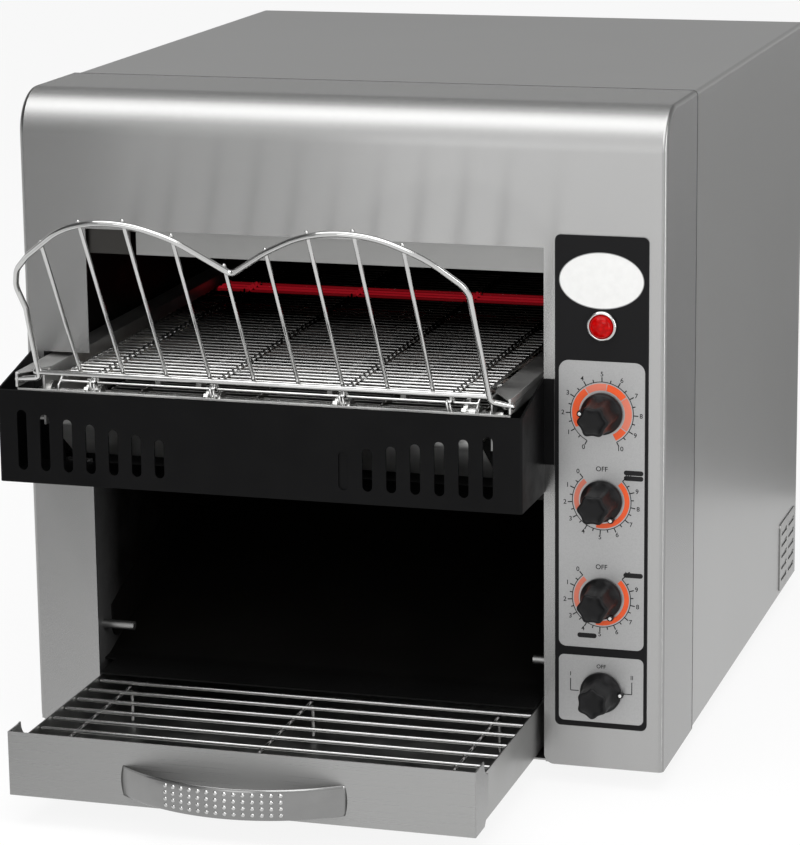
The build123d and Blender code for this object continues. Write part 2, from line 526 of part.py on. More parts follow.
def tray_fascia():
    """Front of the tray, with side returns whose back corners sweep up to a fin."""
    y0, back = FASCIA_FRONT, FASCIA_FRONT + 25
    shoulder, tip = (back, 32), (back - 8.5, FASCIA_TOP + 0.6)
    side = Polyline((y0, FASCIA_BOT), (back - 8, FASCIA_BOT), (back, 14), shoulder)
    sweep_up = ThreePointArc(shoulder, (back - 6, 34.6), tip)
    top = Polyline(tip, (back - 13, FASCIA_TOP), (y0, FASCIA_TOP), (y0, FASCIA_BOT))
    cheek = make_face(Wire([*side.edges(), sweep_up, *top.edges()]))
    fascia = block(FASCIA_L, FASCIA_R, y0, y0 + CASE_T, FASCIA_BOT, FASCIA_TOP)
    for x0 in (FASCIA_L, FASCIA_R - CASE_T):
        fascia += across(cheek, x0, x0 + CASE_T)
    return fascia


def tray_handle():
    """Bowed strap handle."""
    ends = [(HANDLE_MID - HANDLE_HALF, FASCIA_FRONT), (HANDLE_MID + HANDLE_HALF, FASCIA_FRONT)]
    bow = ThreePointArc(ends[0], (HANDLE_MID, FASCIA_FRONT - HANDLE_BOW), ends[1])
    strap = extrude(trace(bow, HANDLE_T), amount=HANDLE_TOP - HANDLE_BOT)
    strap = Pos(0, 0, HANDLE_BOT) * strap
    return strap - block(0, BODY_W, FASCIA_FRONT, FASCIA_FRONT + 5, 0, FASCIA_TOP)


def toast_rack():
    """Wire rack the toast lands on: cross wires over three long wires with turned-down feet."""
    wire_d, step, count, cross_z, side_gap, bend_r = 2.4, 17.5, 7, 30.0, 1.5, 4
    y0, y1, low, high = FASCIA_FRONT + 5, -10.0, TRAY_FLOOR + 0.8, cross_z - wire_d + 0.2
    wires = [rod_x(TRAY_L + side_gap, TRAY_R - side_gap, y, cross_z, wire_d) for y in steps(y1, -step, count)]
    rear = y1 + wire_d / 2
    for x in (TRAY_L + 20, (TRAY_L + TRAY_R) / 2, TRAY_R - 20):
        foot = FilletPolyline((x, y0, low), (x, y0, high), (x, rear, high), (x, rear, low), radius=bend_r)
        wires.append(sweep(Plane(origin=(x, y0, low), z_dir=(0, 0, 1)) * Circle(wire_d / 2), path=foot))
    return wires[0].fuse(*wires[1:])


def tray_runners():
    """Strips on the base that the tray slides on, with side guides."""
    base, rear, wide, guide_top = 2 * CASE_T, 300, 12, 20
    strips = [block(x0, x0 + wide, 6, rear, base, TRAY_FLOOR - 0.1) for x0 in (50, 277)]
    guides = [block(36, 39, 20, rear, base, guide_top), block(300, WALL_R, 20, rear, base, guide_top)]
    return Compound(children=strips + guides)


# ---------------------------------------------------------------- controls
def control_plate():
    """Face plate behind the dials, with a hole for each bush and for the lamp."""
    middle = Pos((PANEL_L + PANEL_R) / 2, (PANEL_BOT + PANEL_TOP) / 2)
    face = middle * RectangleRounded(PANEL_R - PANEL_L, PANEL_TOP - PANEL_BOT, PANEL_CORNER)
    for z in KNOB_Z.values():
        face -= Pos(KNOB_X, z) * Circle(BUSH_D / 2)
    face -= Pos(KNOB_X, LAMP_Z) * Circle(LAMP_HOLE_D / 2)
    return facing(face, -PANEL_T, 0)


def lamp_bezel():
    """Chrome ring with a threaded barrel through the panel."""
    outer_r, inner_r, ring_t, barrel_long = 8.4, 6.4, 2.6, 14
    ring = Cylinder(outer_r, ring_t, align=BASE) - Cylinder(inner_r, ring_t, align=BASE)
    ring = Pos(0, 0, PANEL_T) * chamfer(ring.edges().group_by(Axis.Z)[-1].sort_by(SortBy.LENGTH)[-1], 0.9)
    barrel = Pos(0, 0, -barrel_long) * Cylinder(LAMP_HOLE_D / 2 - 0.1, barrel_long + PANEL_T, align=BASE)
    seat = Pos(0, 0, PANEL_T) * Cylinder(inner_r, LENS_SEAT, align=BASE)
    bore = Pos(0, 0, -barrel_long - 1) * Cylinder(LENS_BODY_R + 0.1, barrel_long + 3, align=BASE)
    return on_panel(LAMP_Z, ring + seat + barrel - bore)


def lamp_lens():
    """Domed lens with its light body behind."""
    seat, lens_r, dome_r, body_long = PANEL_T + LENS_SEAT, 6.3, 8.1, 13
    dome = Pos(0, 0, seat) * Cylinder(lens_r, lens_r, align=BASE) & Pos(0, 0, -1.1) * Sphere(dome_r)
    body = Pos(0, 0, -body_long) * Cylinder(LENS_BODY_R, body_long + seat, align=BASE)
    return on_panel(LAMP_Z, dome + body)


def on_panel(z, shape):
    """Stand a shape drawn along +Z out of the front face at a control's place."""
    return Pos(KNOB_X, 0, z) * Rot(90, 0, 0) * shape


def knob(z):
    """Skirted knob whose grip has six points with hollow sides between them."""
    hollow_r, recess_r, recess, flare = 15.0, 7.4, 2.2, 1.4
    skirt = extrude(Circle(KNOB_SKIRT_R), amount=KNOB_SKIRT_T, taper=25)
    grip = Cone(KNOB_GRIP_R + flare, KNOB_GRIP_R, KNOB_TALL, align=BASE)
    grip -= [Rot(0, 0, 60 * i + 30) * Pos(KNOB_FLAT + hollow_r, 0) * Cylinder(hollow_r, KNOB_TALL, align=BASE)
             for i in range(6)]
    body = skirt + grip - Cylinder(recess_r, recess, align=BASE)
    body -= Cylinder(SPINDLE_D / 2, KNOB_BORE, align=BASE)
    return on_panel(z, Pos(0, 0, KNOB_GAP) * body)


def spindle(z, back):
    """Control shaft from inside the control body to the knob's blind bore."""
    return on_panel(z, Pos(0, 0, -back) * Cylinder(SPINDLE_D / 2, back + KNOB_GAP + KNOB_BORE, align=BASE))


def bush_and_nut():
    """Threaded bush through the panel with its nut in front."""
    behind, proud, nut_r, nut_t = 6, 2.4, 6.5, 2
    bush = Pos(0, 0, -behind) * Cylinder(BUSH_D / 2, behind + PANEL_T + proud, align=BASE)
    nut = Pos(0, 0, PANEL_T) * extrude(RegularPolygon(nut_r, 6), amount=nut_t)
    return bush + nut


def control_body(z, shell, back):
    """Body of a control behind the panel; shell is drawn from -back to -1 along the spindle."""
    body = shell + bush_and_nut()
    return on_panel(z, body - Pos(0, 0, -back) * Cylinder(BUSH_BORE / 2, back + 6, align=BASE))


def speed_control():
    """Potentiometer: a round can with its row of tags."""
    can_r, deep, tag_wide, tag_t = 12, 10, 12, 1.2
    can = Pos(0, 0, -CASE_T - deep) * Cylinder(can_r, deep, align=BASE)
    tags = Pos(0, -can_r - 1, -CASE_T - deep / 2) * Box(tag_wide, 5, tag_t)
    return control_body(KNOB_Z["speed"], can + tags, 9)


def heat_control(name):
    """Energy regulator: a square case with three blade tags behind."""
    wide, high, deep, tag_wide, tag_t, tag_long = 32, 30, 26, 6.3, 0.8, 3
    shell = Pos(0, 0, -CASE_T - deep) * Box(wide, high, deep, align=BASE)
    for x in (-10, 0, 10):
        shell += Pos(x, 0, -CASE_T - deep - tag_long) * Box(tag_wide, tag_t, 2 * tag_long, align=BASE)
    return control_body(KNOB_Z[name], shell, 20)


def power_switch():
    """Rotary switch: three square wafers on a round core."""
    core_r, core_long, wafer_wide, wafer_t, wafer_step = 10, 29, 34, 8, 9
    shell = Pos(0, 0, -CASE_T - core_long) * Cylinder(core_r, core_long, align=BASE)
    for i in range(3):
        shell += Pos(0, 0, -12 - wafer_step * i) * Box(wafer_wide, wafer_wide, wafer_t, align=BASE)
    return control_body(KNOB_Z["power"], shell, 20)


# ---------------------------------------------------------------- drive, fan, wiring
def gear_motor():
    """Motor and gearbox, its output shaft's boss towards the chain."""
    box_x, can_x, end_x, box_high, can_d, boss_d = CHAIN_X + 8, CHAIN_X + 30, CHAIN_X + 47, 48, 44, 16
    y0, y1 = MOTOR_SHAFT_Y - 22, MOTOR_SHAFT_Y + 30
    box = block(box_x, can_x, y0, y1, MOTOR_SHELF_Z, MOTOR_SHELF_Z + box_high)
    box = fillet(box.edges().filter_by(Axis.X), 4)
    can = rod_x(can_x, end_x, MOTOR_SHAFT_Y + 6, MOTOR_SHAFT_Z, can_d)
    boss = rod_x(box_x - 4, box_x, MOTOR_SHAFT_Y, MOTOR_SHAFT_Z, boss_d)
    return box + can + boss - rod_x(box_x - 5, box_x + 14, MOTOR_SHAFT_Y, MOTOR_SHAFT_Z, SHAFT_D + 0.1)


def motor_bracket():
    """Angle that hangs the gear motor on the right side wall."""
    thick, drop, x0 = 1.5, 20, WALL_R + WALL_T
    y0, y1 = MOTOR_SHAFT_Y - 20, MOTOR_SHAFT_Y + 30
    wall = block(x0, x0 + thick, y0, y1, MOTOR_SHELF_Z - drop, MOTOR_SHELF_Z)
    return wall + block(x0, CHAIN_X + 30, y0, y1, MOTOR_SHELF_Z - thick, MOTOR_SHELF_Z)


def motor_sprocket():
    """Nine-tooth wheel on the gearbox's output shaft."""
    wheel = toothed_disc(MOTOR_SPROCKET_R, 9, CHAIN_TOOTH, CHAIN_WHEEL_T, SHAFT_D)
    shaft = rod_x(-3.9, 21, 0, 0, SHAFT_D)
    return Pos(CHAIN_X, MOTOR_SHAFT_Y, MOTOR_SHAFT_Z) * (wheel + shaft)


def drive_sprocket():
    """Thirteen-tooth wheel with a hub on the rear conveyor shaft."""
    wheel = toothed_disc(DRIVE_SPROCKET_R, 13, CHAIN_TOOTH, CHAIN_WHEEL_T, SHAFT_D)
    hub = rod_x(CHAIN_WHEEL_T / 2, 8, 0, 0, 15) - rod_x(0, 9, 0, 0, SHAFT_D)
    return Pos(CHAIN_X, REAR_SHAFT_Y, SHAFT_Z) * (wheel + hub)


def drive_chain():
    """Chain loop round both chain sprockets."""
    span = (MOTOR_SHAFT_Y - REAR_SHAFT_Y, MOTOR_SHAFT_Z - SHAFT_Z)
    length = math.hypot(*span)
    lean = math.asin((DRIVE_SPROCKET_R - MOTOR_SPROCKET_R) / length)
    heading = math.atan2(span[1], span[0])

    def loop(extra):
        sides = []
        for turn in (1, -1):
            a = heading + turn * (math.pi / 2 - lean)
            near = [(DRIVE_SPROCKET_R + extra) * f(a) for f in (math.cos, math.sin)]
            far = [(MOTOR_SPROCKET_R + extra) * f(a) for f in (math.cos, math.sin)]
            sides.append((near, (far[0] + span[0], far[1] + span[1])))
        outline = make_face(Polyline(sides[0][0], sides[0][1], sides[1][1], sides[1][0], close=True))
        outline += Circle(DRIVE_SPROCKET_R + extra)
        return outline + Pos(*span) * Circle(MOTOR_SPROCKET_R + extra)

    ring = loop(CHAIN_GAP + CHAIN_TALL) - loop(CHAIN_GAP)
    chain = across(ring, CHAIN_X - CHAIN_WIDE / 2, CHAIN_X + CHAIN_WIDE / 2)
    return Pos(0, REAR_SHAFT_Y, SHAFT_Z) * chain


def fan_frame():
    """Square duct with a bearing plate on crossed bars."""
    half, y0, y1 = FAN_SIZE / 2, FAN_REAR - 20, FAN_REAR
    wall, plate_t, plate_d, bar_high = 1.5, 2, 24, 3
    frame = block(FAN_X - half, FAN_X + half, y0, y1, FAN_Z - half, FAN_Z + half)
    frame -= rod_y(FAN_X, y0 - 1, y1 + 1, FAN_Z, FAN_SIZE - 2 * wall)
    frame += rod_y(FAN_X, y0, y0 + plate_t, FAN_Z, plate_d)
    for turn in (45, 135):
        frame += Pos(FAN_X, y0 + plate_t / 2, FAN_Z) * Rot(0, turn, 0) * Box(FAN_SIZE, plate_t, bar_high)
    return frame - rod_y(FAN_X, y0 - 1, y0 + plate_t + 1, FAN_Z, FAN_PIN_D + 0.1)


def fan_rotor():
    """Hub with seven swept blades."""
    hub_r, hub_long, pin_long, blades = 11, 14, 3, 7
    blade_long, blade_wide, blade_t, pitch = 14.5, 14, 1.2, 35
    pin = Pos(0, 0, (hub_long + pin_long) / 2) * Cylinder(FAN_PIN_D / 2, pin_long)
    rotor = Cylinder(hub_r, hub_long) + pin
    blade = Pos(17.5, 0, 0) * Rot(pitch, 0, 0) * Box(blade_long, blade_wide, blade_t)
    for i in range(blades):
        rotor += Rot(0, 0, 360 / blades * i) * blade
    return Pos(FAN_X, FAN_REAR - 9.5, FAN_Z) * Rot(90, 0, 0) * rotor


def terminal_block():
    """Mains terminal strip on the base, open on top over each of its five ways."""
    x0, y0, z0, long, deep, high = 310, 360, 2 * CASE_T, 42, 14, 16
    way, step, wall = 5, 8, 3
    strip = block(x0, x0 + long, y0, y0 + deep, z0, z0 + high)
    for x in steps(x0 + 4.5, step, 5):
        strip -= block(x, x + way, y0 + wall, y0 + deep - wall, z0 + high - 7, z0 + high + 1)
    return strip


def cord_gland():
    """Cord entry: nut outside the back panel, thread and nut inside."""
    inside, outer_nut, inner_nut = 6, 4, 3
    front, rear = BACK_Y - inside, BODY_D + GLAND_LONG
    gland = rod_y(FAN_X, front, rear, GLAND_Z, GLAND_HOLE_D - 0.2)
    middle = Pos(FAN_X, 0, GLAND_Z) * Rot(90, 0, 0)
    nut = RegularPolygon(GLAND_NUT_R, 6)
    gland += middle * Pos(0, 0, -BACK_Y - CASE_T - outer_nut) * extrude(nut, amount=outer_nut)
    gland += middle * Pos(0, 0, -BACK_Y) * extrude(nut, amount=inner_nut)
    return gland - rod_y(FAN_X, front - 1, rear + 1, GLAND_Z, GLAND_BORE)


def case_screws():
    """Pan-head screws round the edges of the back panel."""
    edge, y = 7.5, BACK_Y + CASE_T
    places = [(x, z) for x in (edge, BODY_W - edge) for z in (30, BODY_H / 2, BODY_H - 30)]
    places += [(x, BODY_H - 8) for x in (100, BODY_W / 2, BODY_W - 100)]
    return Compound(children=[screw(x, y, z) for x, z in places])


def screw(x, y, z):
    """Slotted pan head standing back off the point."""
    ball_r, under, slot_long, slot_wide, slot_deep = 4.2, 2.1, 5, 0.8, 1.2
    head = Sphere(ball_r) & Pos(0, 0, under + ball_r / 2) * Box(3 * ball_r, 3 * ball_r, ball_r)
    head -= Pos(0, 0, ball_r - 0.2) * Box(slot_long, slot_wide, slot_deep)
    return Pos(x, y, z) * Rot(-90, 0, 0) * Pos(0, 0, -under) * head


NODES = {
    "front_shell": front_shell,
    "body_cover": body_cover,
    "side_vent_plate": side_vent_plate,
    "back_panel": back_panel,
    "base_pan": base_pan,
    "feet": feet,
    "inner_wall_left": inner_wall_left,
    "inner_wall_right": inner_wall_right,
    "heat_baffle": heat_baffle,
    "top_reflector": top_reflector,
    "top_heating_tubes": lambda: heating_tubes(TUBE_Y_TOP, TUBE_Z_TOP, CHAMBER),
    "bottom_heating_tubes": lambda: heating_tubes(TUBE_Y_LOW, TUBE_Z_LOW, BETWEEN_RAILS),
    "tube_holders": tube_holders,
    "chamber_floor": chamber_floor,
    "rear_deflector": rear_deflector,
    "discharge_chute": discharge_chute,
    "chute_pins": chute_pins,
    "conveyor_rail_left": lambda: conveyor_rail(-1),
    "conveyor_rail_right": lambda: conveyor_rail(1),
    "rail_spacers": rail_spacers,
    "shaft_bushes": shaft_bushes,
    "front_shaft": lambda: conveyor_shaft(FRONT_SHAFT_Y, CONV_MID + RAIL_IN + 8),
    "front_sprockets": lambda: belt_sprockets(FRONT_SHAFT_Y),
    "drive_shaft": lambda: conveyor_shaft(REAR_SHAFT_Y, CHAIN_X + 10),
    "rear_sprockets": lambda: belt_sprockets(REAR_SHAFT_Y),
    "wire_belt": wire_belt,
    "belt_runners": belt_runners,
    "front_trough": front_trough,
    "front_apron": front_apron,
    "wire_guard": wire_guard,
    "tray_pan": tray_pan,
    "tray_fascia": tray_fascia,
    "tray_handle": tray_handle,
    "toast_rack": toast_rack,
    "tray_runners": tray_runners,
    "control_plate": control_plate,
    "lamp_bezel": lamp_bezel,
    "lamp_lens": lamp_lens,
    "speed_knob": lambda: knob(KNOB_Z["speed"]),
    "top_heat_knob": lambda: knob(KNOB_Z["top_heat"]),
    "bottom_heat_knob": lambda: knob(KNOB_Z["bottom_heat"]),
    "power_knob": lambda: knob(KNOB_Z["power"]),
    "speed_spindle": lambda: spindle(KNOB_Z["speed"], 8),
    "top_heat_spindle": lambda: spindle(KNOB_Z["top_heat"], 18),
    "bottom_heat_spindle": lambda: spindle(KNOB_Z["bottom_heat"], 18),
    "power_spindle": lambda: spindle(KNOB_Z["power"], 18),
    "speed_control": speed_control,
    "top_heat_control": lambda: heat_control("top_heat"),
    "bottom_heat_control": lambda: heat_control("bottom_heat"),
    "power_switch": power_switch,
    "gear_motor": gear_motor,
    "motor_bracket": motor_bracket,
    "motor_sprocket": motor_sprocket,
    "drive_sprocket": drive_sprocket,
    "drive_chain": drive_chain,
    "fan_frame": fan_frame,
    "fan_rotor": fan_rotor,
    "terminal_block": terminal_block,
    "cord_gland": cord_gland,
    "case_screws": case_screws,
}


if __name__ == "__main__":
    os.makedirs("parts", exist_ok=True)
    for name, make in NODES.items():
        export_step(PLACE * make(), f"parts/{name}.step")
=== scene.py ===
"""Countertop conveyor toaster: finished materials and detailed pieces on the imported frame.

Places are written in the bench frame, in millimetres: x from the casing's left side, y back from
its front face, z up from its underside. at() turns them into the frame's metres.
"""
import json
import math
import bmesh
import bpy
from mathutils import Matrix, Vector


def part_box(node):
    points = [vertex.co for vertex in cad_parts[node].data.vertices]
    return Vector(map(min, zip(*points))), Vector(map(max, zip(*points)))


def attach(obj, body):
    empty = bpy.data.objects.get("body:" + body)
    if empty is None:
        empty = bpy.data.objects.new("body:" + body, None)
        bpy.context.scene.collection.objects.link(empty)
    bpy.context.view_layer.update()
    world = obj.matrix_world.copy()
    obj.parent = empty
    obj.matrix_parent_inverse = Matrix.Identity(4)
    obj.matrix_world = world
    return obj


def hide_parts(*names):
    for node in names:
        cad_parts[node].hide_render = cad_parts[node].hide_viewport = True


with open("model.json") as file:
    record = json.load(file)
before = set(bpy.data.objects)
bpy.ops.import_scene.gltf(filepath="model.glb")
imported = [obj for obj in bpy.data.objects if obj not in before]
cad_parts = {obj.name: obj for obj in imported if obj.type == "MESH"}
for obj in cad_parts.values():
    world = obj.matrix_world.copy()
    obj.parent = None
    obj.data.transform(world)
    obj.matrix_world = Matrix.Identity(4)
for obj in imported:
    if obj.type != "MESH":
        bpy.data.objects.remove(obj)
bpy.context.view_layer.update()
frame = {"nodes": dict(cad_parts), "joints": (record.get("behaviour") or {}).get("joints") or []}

nodes = frame["nodes"]
MM = 0.001
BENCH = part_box("front_shell")[0]
BODY_W, SHELL_WRAP, BODY_H = (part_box("front_shell")[1] - BENCH) / MM
PIVOTS = {j["name"]: (Vector(j["pos_m"]) - BENCH) / MM for j in frame["joints"] if "pos_m" in j}

# ---------------------------------------------------------------- driving places and sizes, mm
FOLD_R = 3.0                      # folds between the front shell's front, top and sides
BAFFLE_SLOT = 65.0                # right edge of the tab at the heat baffle's left end

CONV_MID = 154.0                  # middle of the conveyor, of its belt and of the guard
BELT_PITCH, BELT_HALF, WIRE_D = 7.6, 120.5, 1.4
SPROCKET_PITCHES = 10
PITCH_R = BELT_PITCH * SPROCKET_PITCHES / (2 * math.pi)
JOINT_ROWS = (-98.0, -28.0, 46.0, 106.0)
# depths between which the belt carries its painted red glow
GLOW_NEAR, GLOW_FAR = 221.0, 249.0

GUARD_FOOT = Vector((CONV_MID, -48.0, 209.0))
GUARD_LEAN = math.radians(31.5)   # the guard's plane leans forward from GUARD_FOOT
GUARD_UP = Vector((0, -math.sin(GUARD_LEAN), math.cos(GUARD_LEAN)))
GUARD_BEHIND = Vector((0, math.cos(GUARD_LEAN), math.sin(GUARD_LEAN)))
GUARD_WIRE_D, GUARD_BAR_D, GUARD_ROD_D = 3.2, 3.0, 2.2
GUARD_END_IN, GUARD_END_OUT, GUARD_END_BEND = 137.0, 143.0, 2.7
GUARD_BAR, GUARD_BAR_ENDS = 12.5, (-125.5, 130.5)
GUARD_ROD_STEP, GUARD_ROD_COUNT = 25.0, 9

TRAY_L, TRAY_R, TRAY_FLOOR, FASCIA_FRONT = 41.0, 298.0, 6.0, -137.0
RACK_WIRE_D, RACK_TOP, RACK_REAR, RACK_BEND = 2.4, 30.0, -10.0, 4.0
RACK_STEP, RACK_COUNT = 17.5, 7
HANDLE_MID, HANDLE_HALF, HANDLE_BOW = 167.0, 63.0, 21.5
HANDLE_BOT, HANDLE_TOP, HANDLE_T, HANDLE_CROWN = 10.5, 27.5, 1.6, 0.75
DOT_COLUMNS, DOT_ROWS, DOT_STEP_ACROSS, DOT_STEP_UP = 14, 4, 5.0, 3.6

PANEL_L, PANEL_R, PANEL_BOT, PANEL_TOP, PANEL_T = 307.5, 358.6, 23.6, 297.6, 0.8
FIELD_L, FIELD_R = 309.6, 357.0
FIELD_LOW, FIELD_HIGH = (26.6, 64.4), (69.2, 229.6)
PANEL_MID, OVAL_Z, OVAL_HALF, OVAL_HIGH = 333.0, 273.5, 23.2, 15.3
KNOB_X = 333.4
KNOB_Z = {"speed": 201.0, "top_heat": 152.5, "bottom_heat": 97.6, "power": 44.0}
KNOB_SKIRT_R, KNOB_TALL, KNOB_GAP, SPINDLE_HOLE_R = 11.5, 22.0, 0.6, 4.0
FILM_T, INK_T = 0.06, 0.03
FILM_FRONT, INK_FRONT = PANEL_T + FILM_T, PANEL_T + FILM_T + INK_T
SPEED_RING_R, HEAT_RING_R, BAND_IN, BAND_GAP = 17.4, 16.3, 12.7, 0.9
TICK_LONG, TICK_SHORT, NUMBER_OUT, NUMBER_TALL = 2.6, 1.6, 4.2, 2.5
LAMP_Z, LAMP_HOLE_R = 249.0, 5.5


def at(x, y, z):
    """Bench millimetres to the frame's metres."""
    return BENCH + Vector((x, y, z)) * MM


# ---------------------------------------------------------------- mesh helpers
def placed(name, data):
    """New object of the scene that holds the data."""
    obj = bpy.data.objects.new(name, data)
    bpy.context.scene.collection.objects.link(obj)
    return obj


def mesh_object(name, verts, faces, smooth=True):
    """Object from vertices in bench millimetres."""
    mesh = bpy.data.meshes.new(name)
    mesh.from_pydata([at(*v) for v in verts], [], faces)
    mesh.polygons.foreach_set("use_smooth", [smooth] * len(mesh.polygons))
    mesh.update()
    return placed(name, mesh)


def ring_walls(rows, count):
    """Faces between closed rows of count points each."""
    faces = []
    for i in range(rows - 1):
        for k in range(count):
            m = (k + 1) % count
            faces.append((i * count + k, i * count + m, (i + 1) * count + m, (i + 1) * count + k))
    return faces


def ring_caps(rows, count):
    """Faces that close the first and the last row."""
    return [tuple(range(count))[::-1], tuple((rows - 1) * count + k for k in range(count))]


class Build:
    """Collects pieces of one mesh in bench millimetres."""

    def __init__(self):
        self.verts, self.faces = [], []

    def add(self, verts, faces):
        """Take in one more piece."""
        base = len(self.verts)
        self.verts += [tuple(v) for v in verts]
        self.faces += [tuple(base + i for i in face) for face in faces]

    def tube(self, points, radius, sides):
        """Round wire along the points, domed at its ends, its section carried along without twist."""
        points = [Vector(p) for p in points]
        headings = []
        for i, p in enumerate(points):
            before, after = points[max(i - 1, 0)], points[min(i + 1, len(points) - 1)]
            headings.append((after - before).normalized())
        side = headings[0].orthogonal().normalized()
        rings = []
        for i, (p, heading) in enumerate(zip(points, headings)):
            if i:
                side = headings[i - 1].rotation_difference(heading) @ side
            rings.append((p, heading, (side - heading * side.dot(heading)).normalized(), radius))
        rings = self.domed(rings, radius)
        verts = []
        for p, heading, side, r in rings:
            other = heading.cross(side)
            for k in range(sides):
                a = 2 * math.pi * k / sides
                verts.append(p + (side * math.cos(a) + other * math.sin(a)) * r)
        self.add(verts, ring_walls(len(rings), sides) + ring_caps(len(rings), sides))

    @staticmethod
    def domed(rings, radius):
        """The rings of a tube with three more at each end that round it off."""
        start, end = [], []
        for degrees in (80, 53, 26):
            reach, r = radius * math.sin(math.radians(degrees)), radius * math.cos(math.radians(degrees))
            p, heading, side, _ = rings[0]
            start.append((p - heading * reach, heading, side, r))
            p, heading, side, _ = rings[-1]
            end.insert(0, (p + heading * reach, heading, side, r))
        return start + rings + end

    def lathe(self, profile, centre, turn=64):
        """Turn (radius, height) points about an axis that points out of the front face."""
        verts = []
        for r, h in profile:
            for k in range(turn):
                a = 2 * math.pi * k / turn
                verts.append(Vector(centre) + Vector((r * math.cos(a), -h, r * math.sin(a))))
        self.add(verts, ring_walls(len(profile), turn) + ring_caps(len(profile), turn))

    def make(self, name):
        return mesh_object(name, self.verts, self.faces)


def rounded(points, radii, step=6.0):
    """The polyline with an arc of the given radius at each inner corner."""
    points = [Vector(p) for p in points]
    out = [points[0]]
    for i, r in enumerate(radii, start=1):
        corner = points[i]
        u, v = points[i - 1] - corner, points[i + 1] - corner
        angle = u.angle(v)
        if math.pi - angle < 0.01:
            out.append(corner)
            continue
        reach = min(r / math.tan(angle / 2), 0.49 * u.length, 0.49 * v.length)
        r = reach * math.tan(angle / 2)
        u, v = u.normalized(), v.normalized()
        centre = corner + (u + v).normalized() * (r / math.sin(angle / 2))
        a, b = corner + u * reach - centre, corner + v * reach - centre
        turn = a.angle(b)
        count = max(2, math.ceil(math.degrees(turn) / step))
        for k in range(count + 1):
            t = k / count
            blend = (a * math.sin((1 - t) * turn) + b * math.sin(t * turn)) / math.sin(turn)
            out.append(centre + blend)
    return out + [points[-1]]


# ---------------------------------------------------------------- flat shapes on the front plane
def clock(x, z, radius, degrees):
    """Point at a clock angle, 0 at twelve and turning clockwise."""
    a = math.radians(degrees)
    return (x + radius * math.sin(a), z + radius * math.cos(a))


def ring_loop(x, z, radius, high=None, count=96):
    """Circle, or an oval of another half height."""
    high = high or radius
    return [(x + radius * math.cos(2 * math.pi * k / count), z + high * math.sin(2 * math.pi * k / count))
            for k in range(count)]


def band_loop(x, z, r0, r1, start, end, step=3.0):
    """Part of a ring between two clock angles."""
    count = max(2, round((end - start) / step))
    turns = [start + (end - start) * k / count for k in range(count + 1)]
    return [clock(x, z, r1, a) for a in turns] + [clock(x, z, r0, a) for a in reversed(turns)]


def box_loop(x0, x1, z0, z1, low_r, top_r=None, count=8):
    """Rectangle with rounded corners."""
    top_r = low_r if top_r is None else top_r
    corners = ((x1, z1, top_r, 0), (x0, z1, top_r, 90), (x0, z0, low_r, 180), (x1, z0, low_r, 270))
    points = []
    for x, z, r, start in corners:
        cx, cz = (x - r if x == x1 else x + r), (z - r if z == z1 else z + r)
        for k in range(count + 1):
            a = math.radians(start + 90 * k / count)
            points.append((cx + r * math.cos(a), cz + r * math.sin(a)))
    return points


def line_loop(a, b, wide):
    """Thin bar between two points."""
    a, b = Vector(a), Vector(b)
    side = (b - a).orthogonal().normalized() * wide / 2
    return [tuple(p) for p in (a + side, b + side, b - side, a - side)]


def sheet_of(name, loops, front, thick, bevel=0.0):
    """Thin flat piece standing off the front face; loops inside loops are holes."""
    curve = bpy.data.curves.new(name, "CURVE")
    curve.dimensions, curve.fill_mode = "2D", "BOTH"
    curve.extrude, curve.bevel_depth = (thick / 2 - bevel) * MM, bevel * MM
    for loop in loops:
        spline = curve.splines.new("POLY")
        spline.points.add(len(loop) - 1)
        for point, (x, z) in zip(spline.points, loop):
            point.co = (x * MM, z * MM, 0, 1)
        spline.use_cyclic_u = True
    return flat_to_front(name, curve, front - thick / 2)


def flat_to_front(name, curve, out):
    """Mesh of a flat curve, stood up so that its face looks forward."""
    holder = placed(name + "_curve", curve)
    mesh = bpy.data.meshes.new_from_object(holder)
    bpy.data.objects.remove(holder)
    mesh.transform(Matrix.Translation(at(0, -out, 0)) @ Matrix.Rotation(math.pi / 2, 4, "X"))
    mesh.name = name
    return placed(name, mesh)


def lettering(words, front):
    """One flat mesh of plain numbers and marks: (text, x, z, height)."""
    capital_share, ink_spread = 0.69, 0.05
    parts = []
    for text, x, z, tall in words:
        curve = bpy.data.curves.new("mark", "FONT")
        curve.body, curve.size = text, tall / capital_share * MM
        curve.align_x, curve.align_y = "CENTER", "CENTER"
        curve.offset = ink_spread * MM
        part = flat_to_front("mark", curve, front)
        part.data.transform(Matrix.Translation(Vector((x, 0, z)) * MM))
        parts.append(part)
    return joined("dial_numbers", parts)


def joined(name, parts):
    """One object from several, in place."""
    work = bmesh.new()
    for part in parts:
        work.from_mesh(part.data)
        bpy.data.objects.remove(part)
    mesh = bpy.data.meshes.new(name)
    work.to_mesh(mesh)
    work.free()
    return placed(name, mesh)


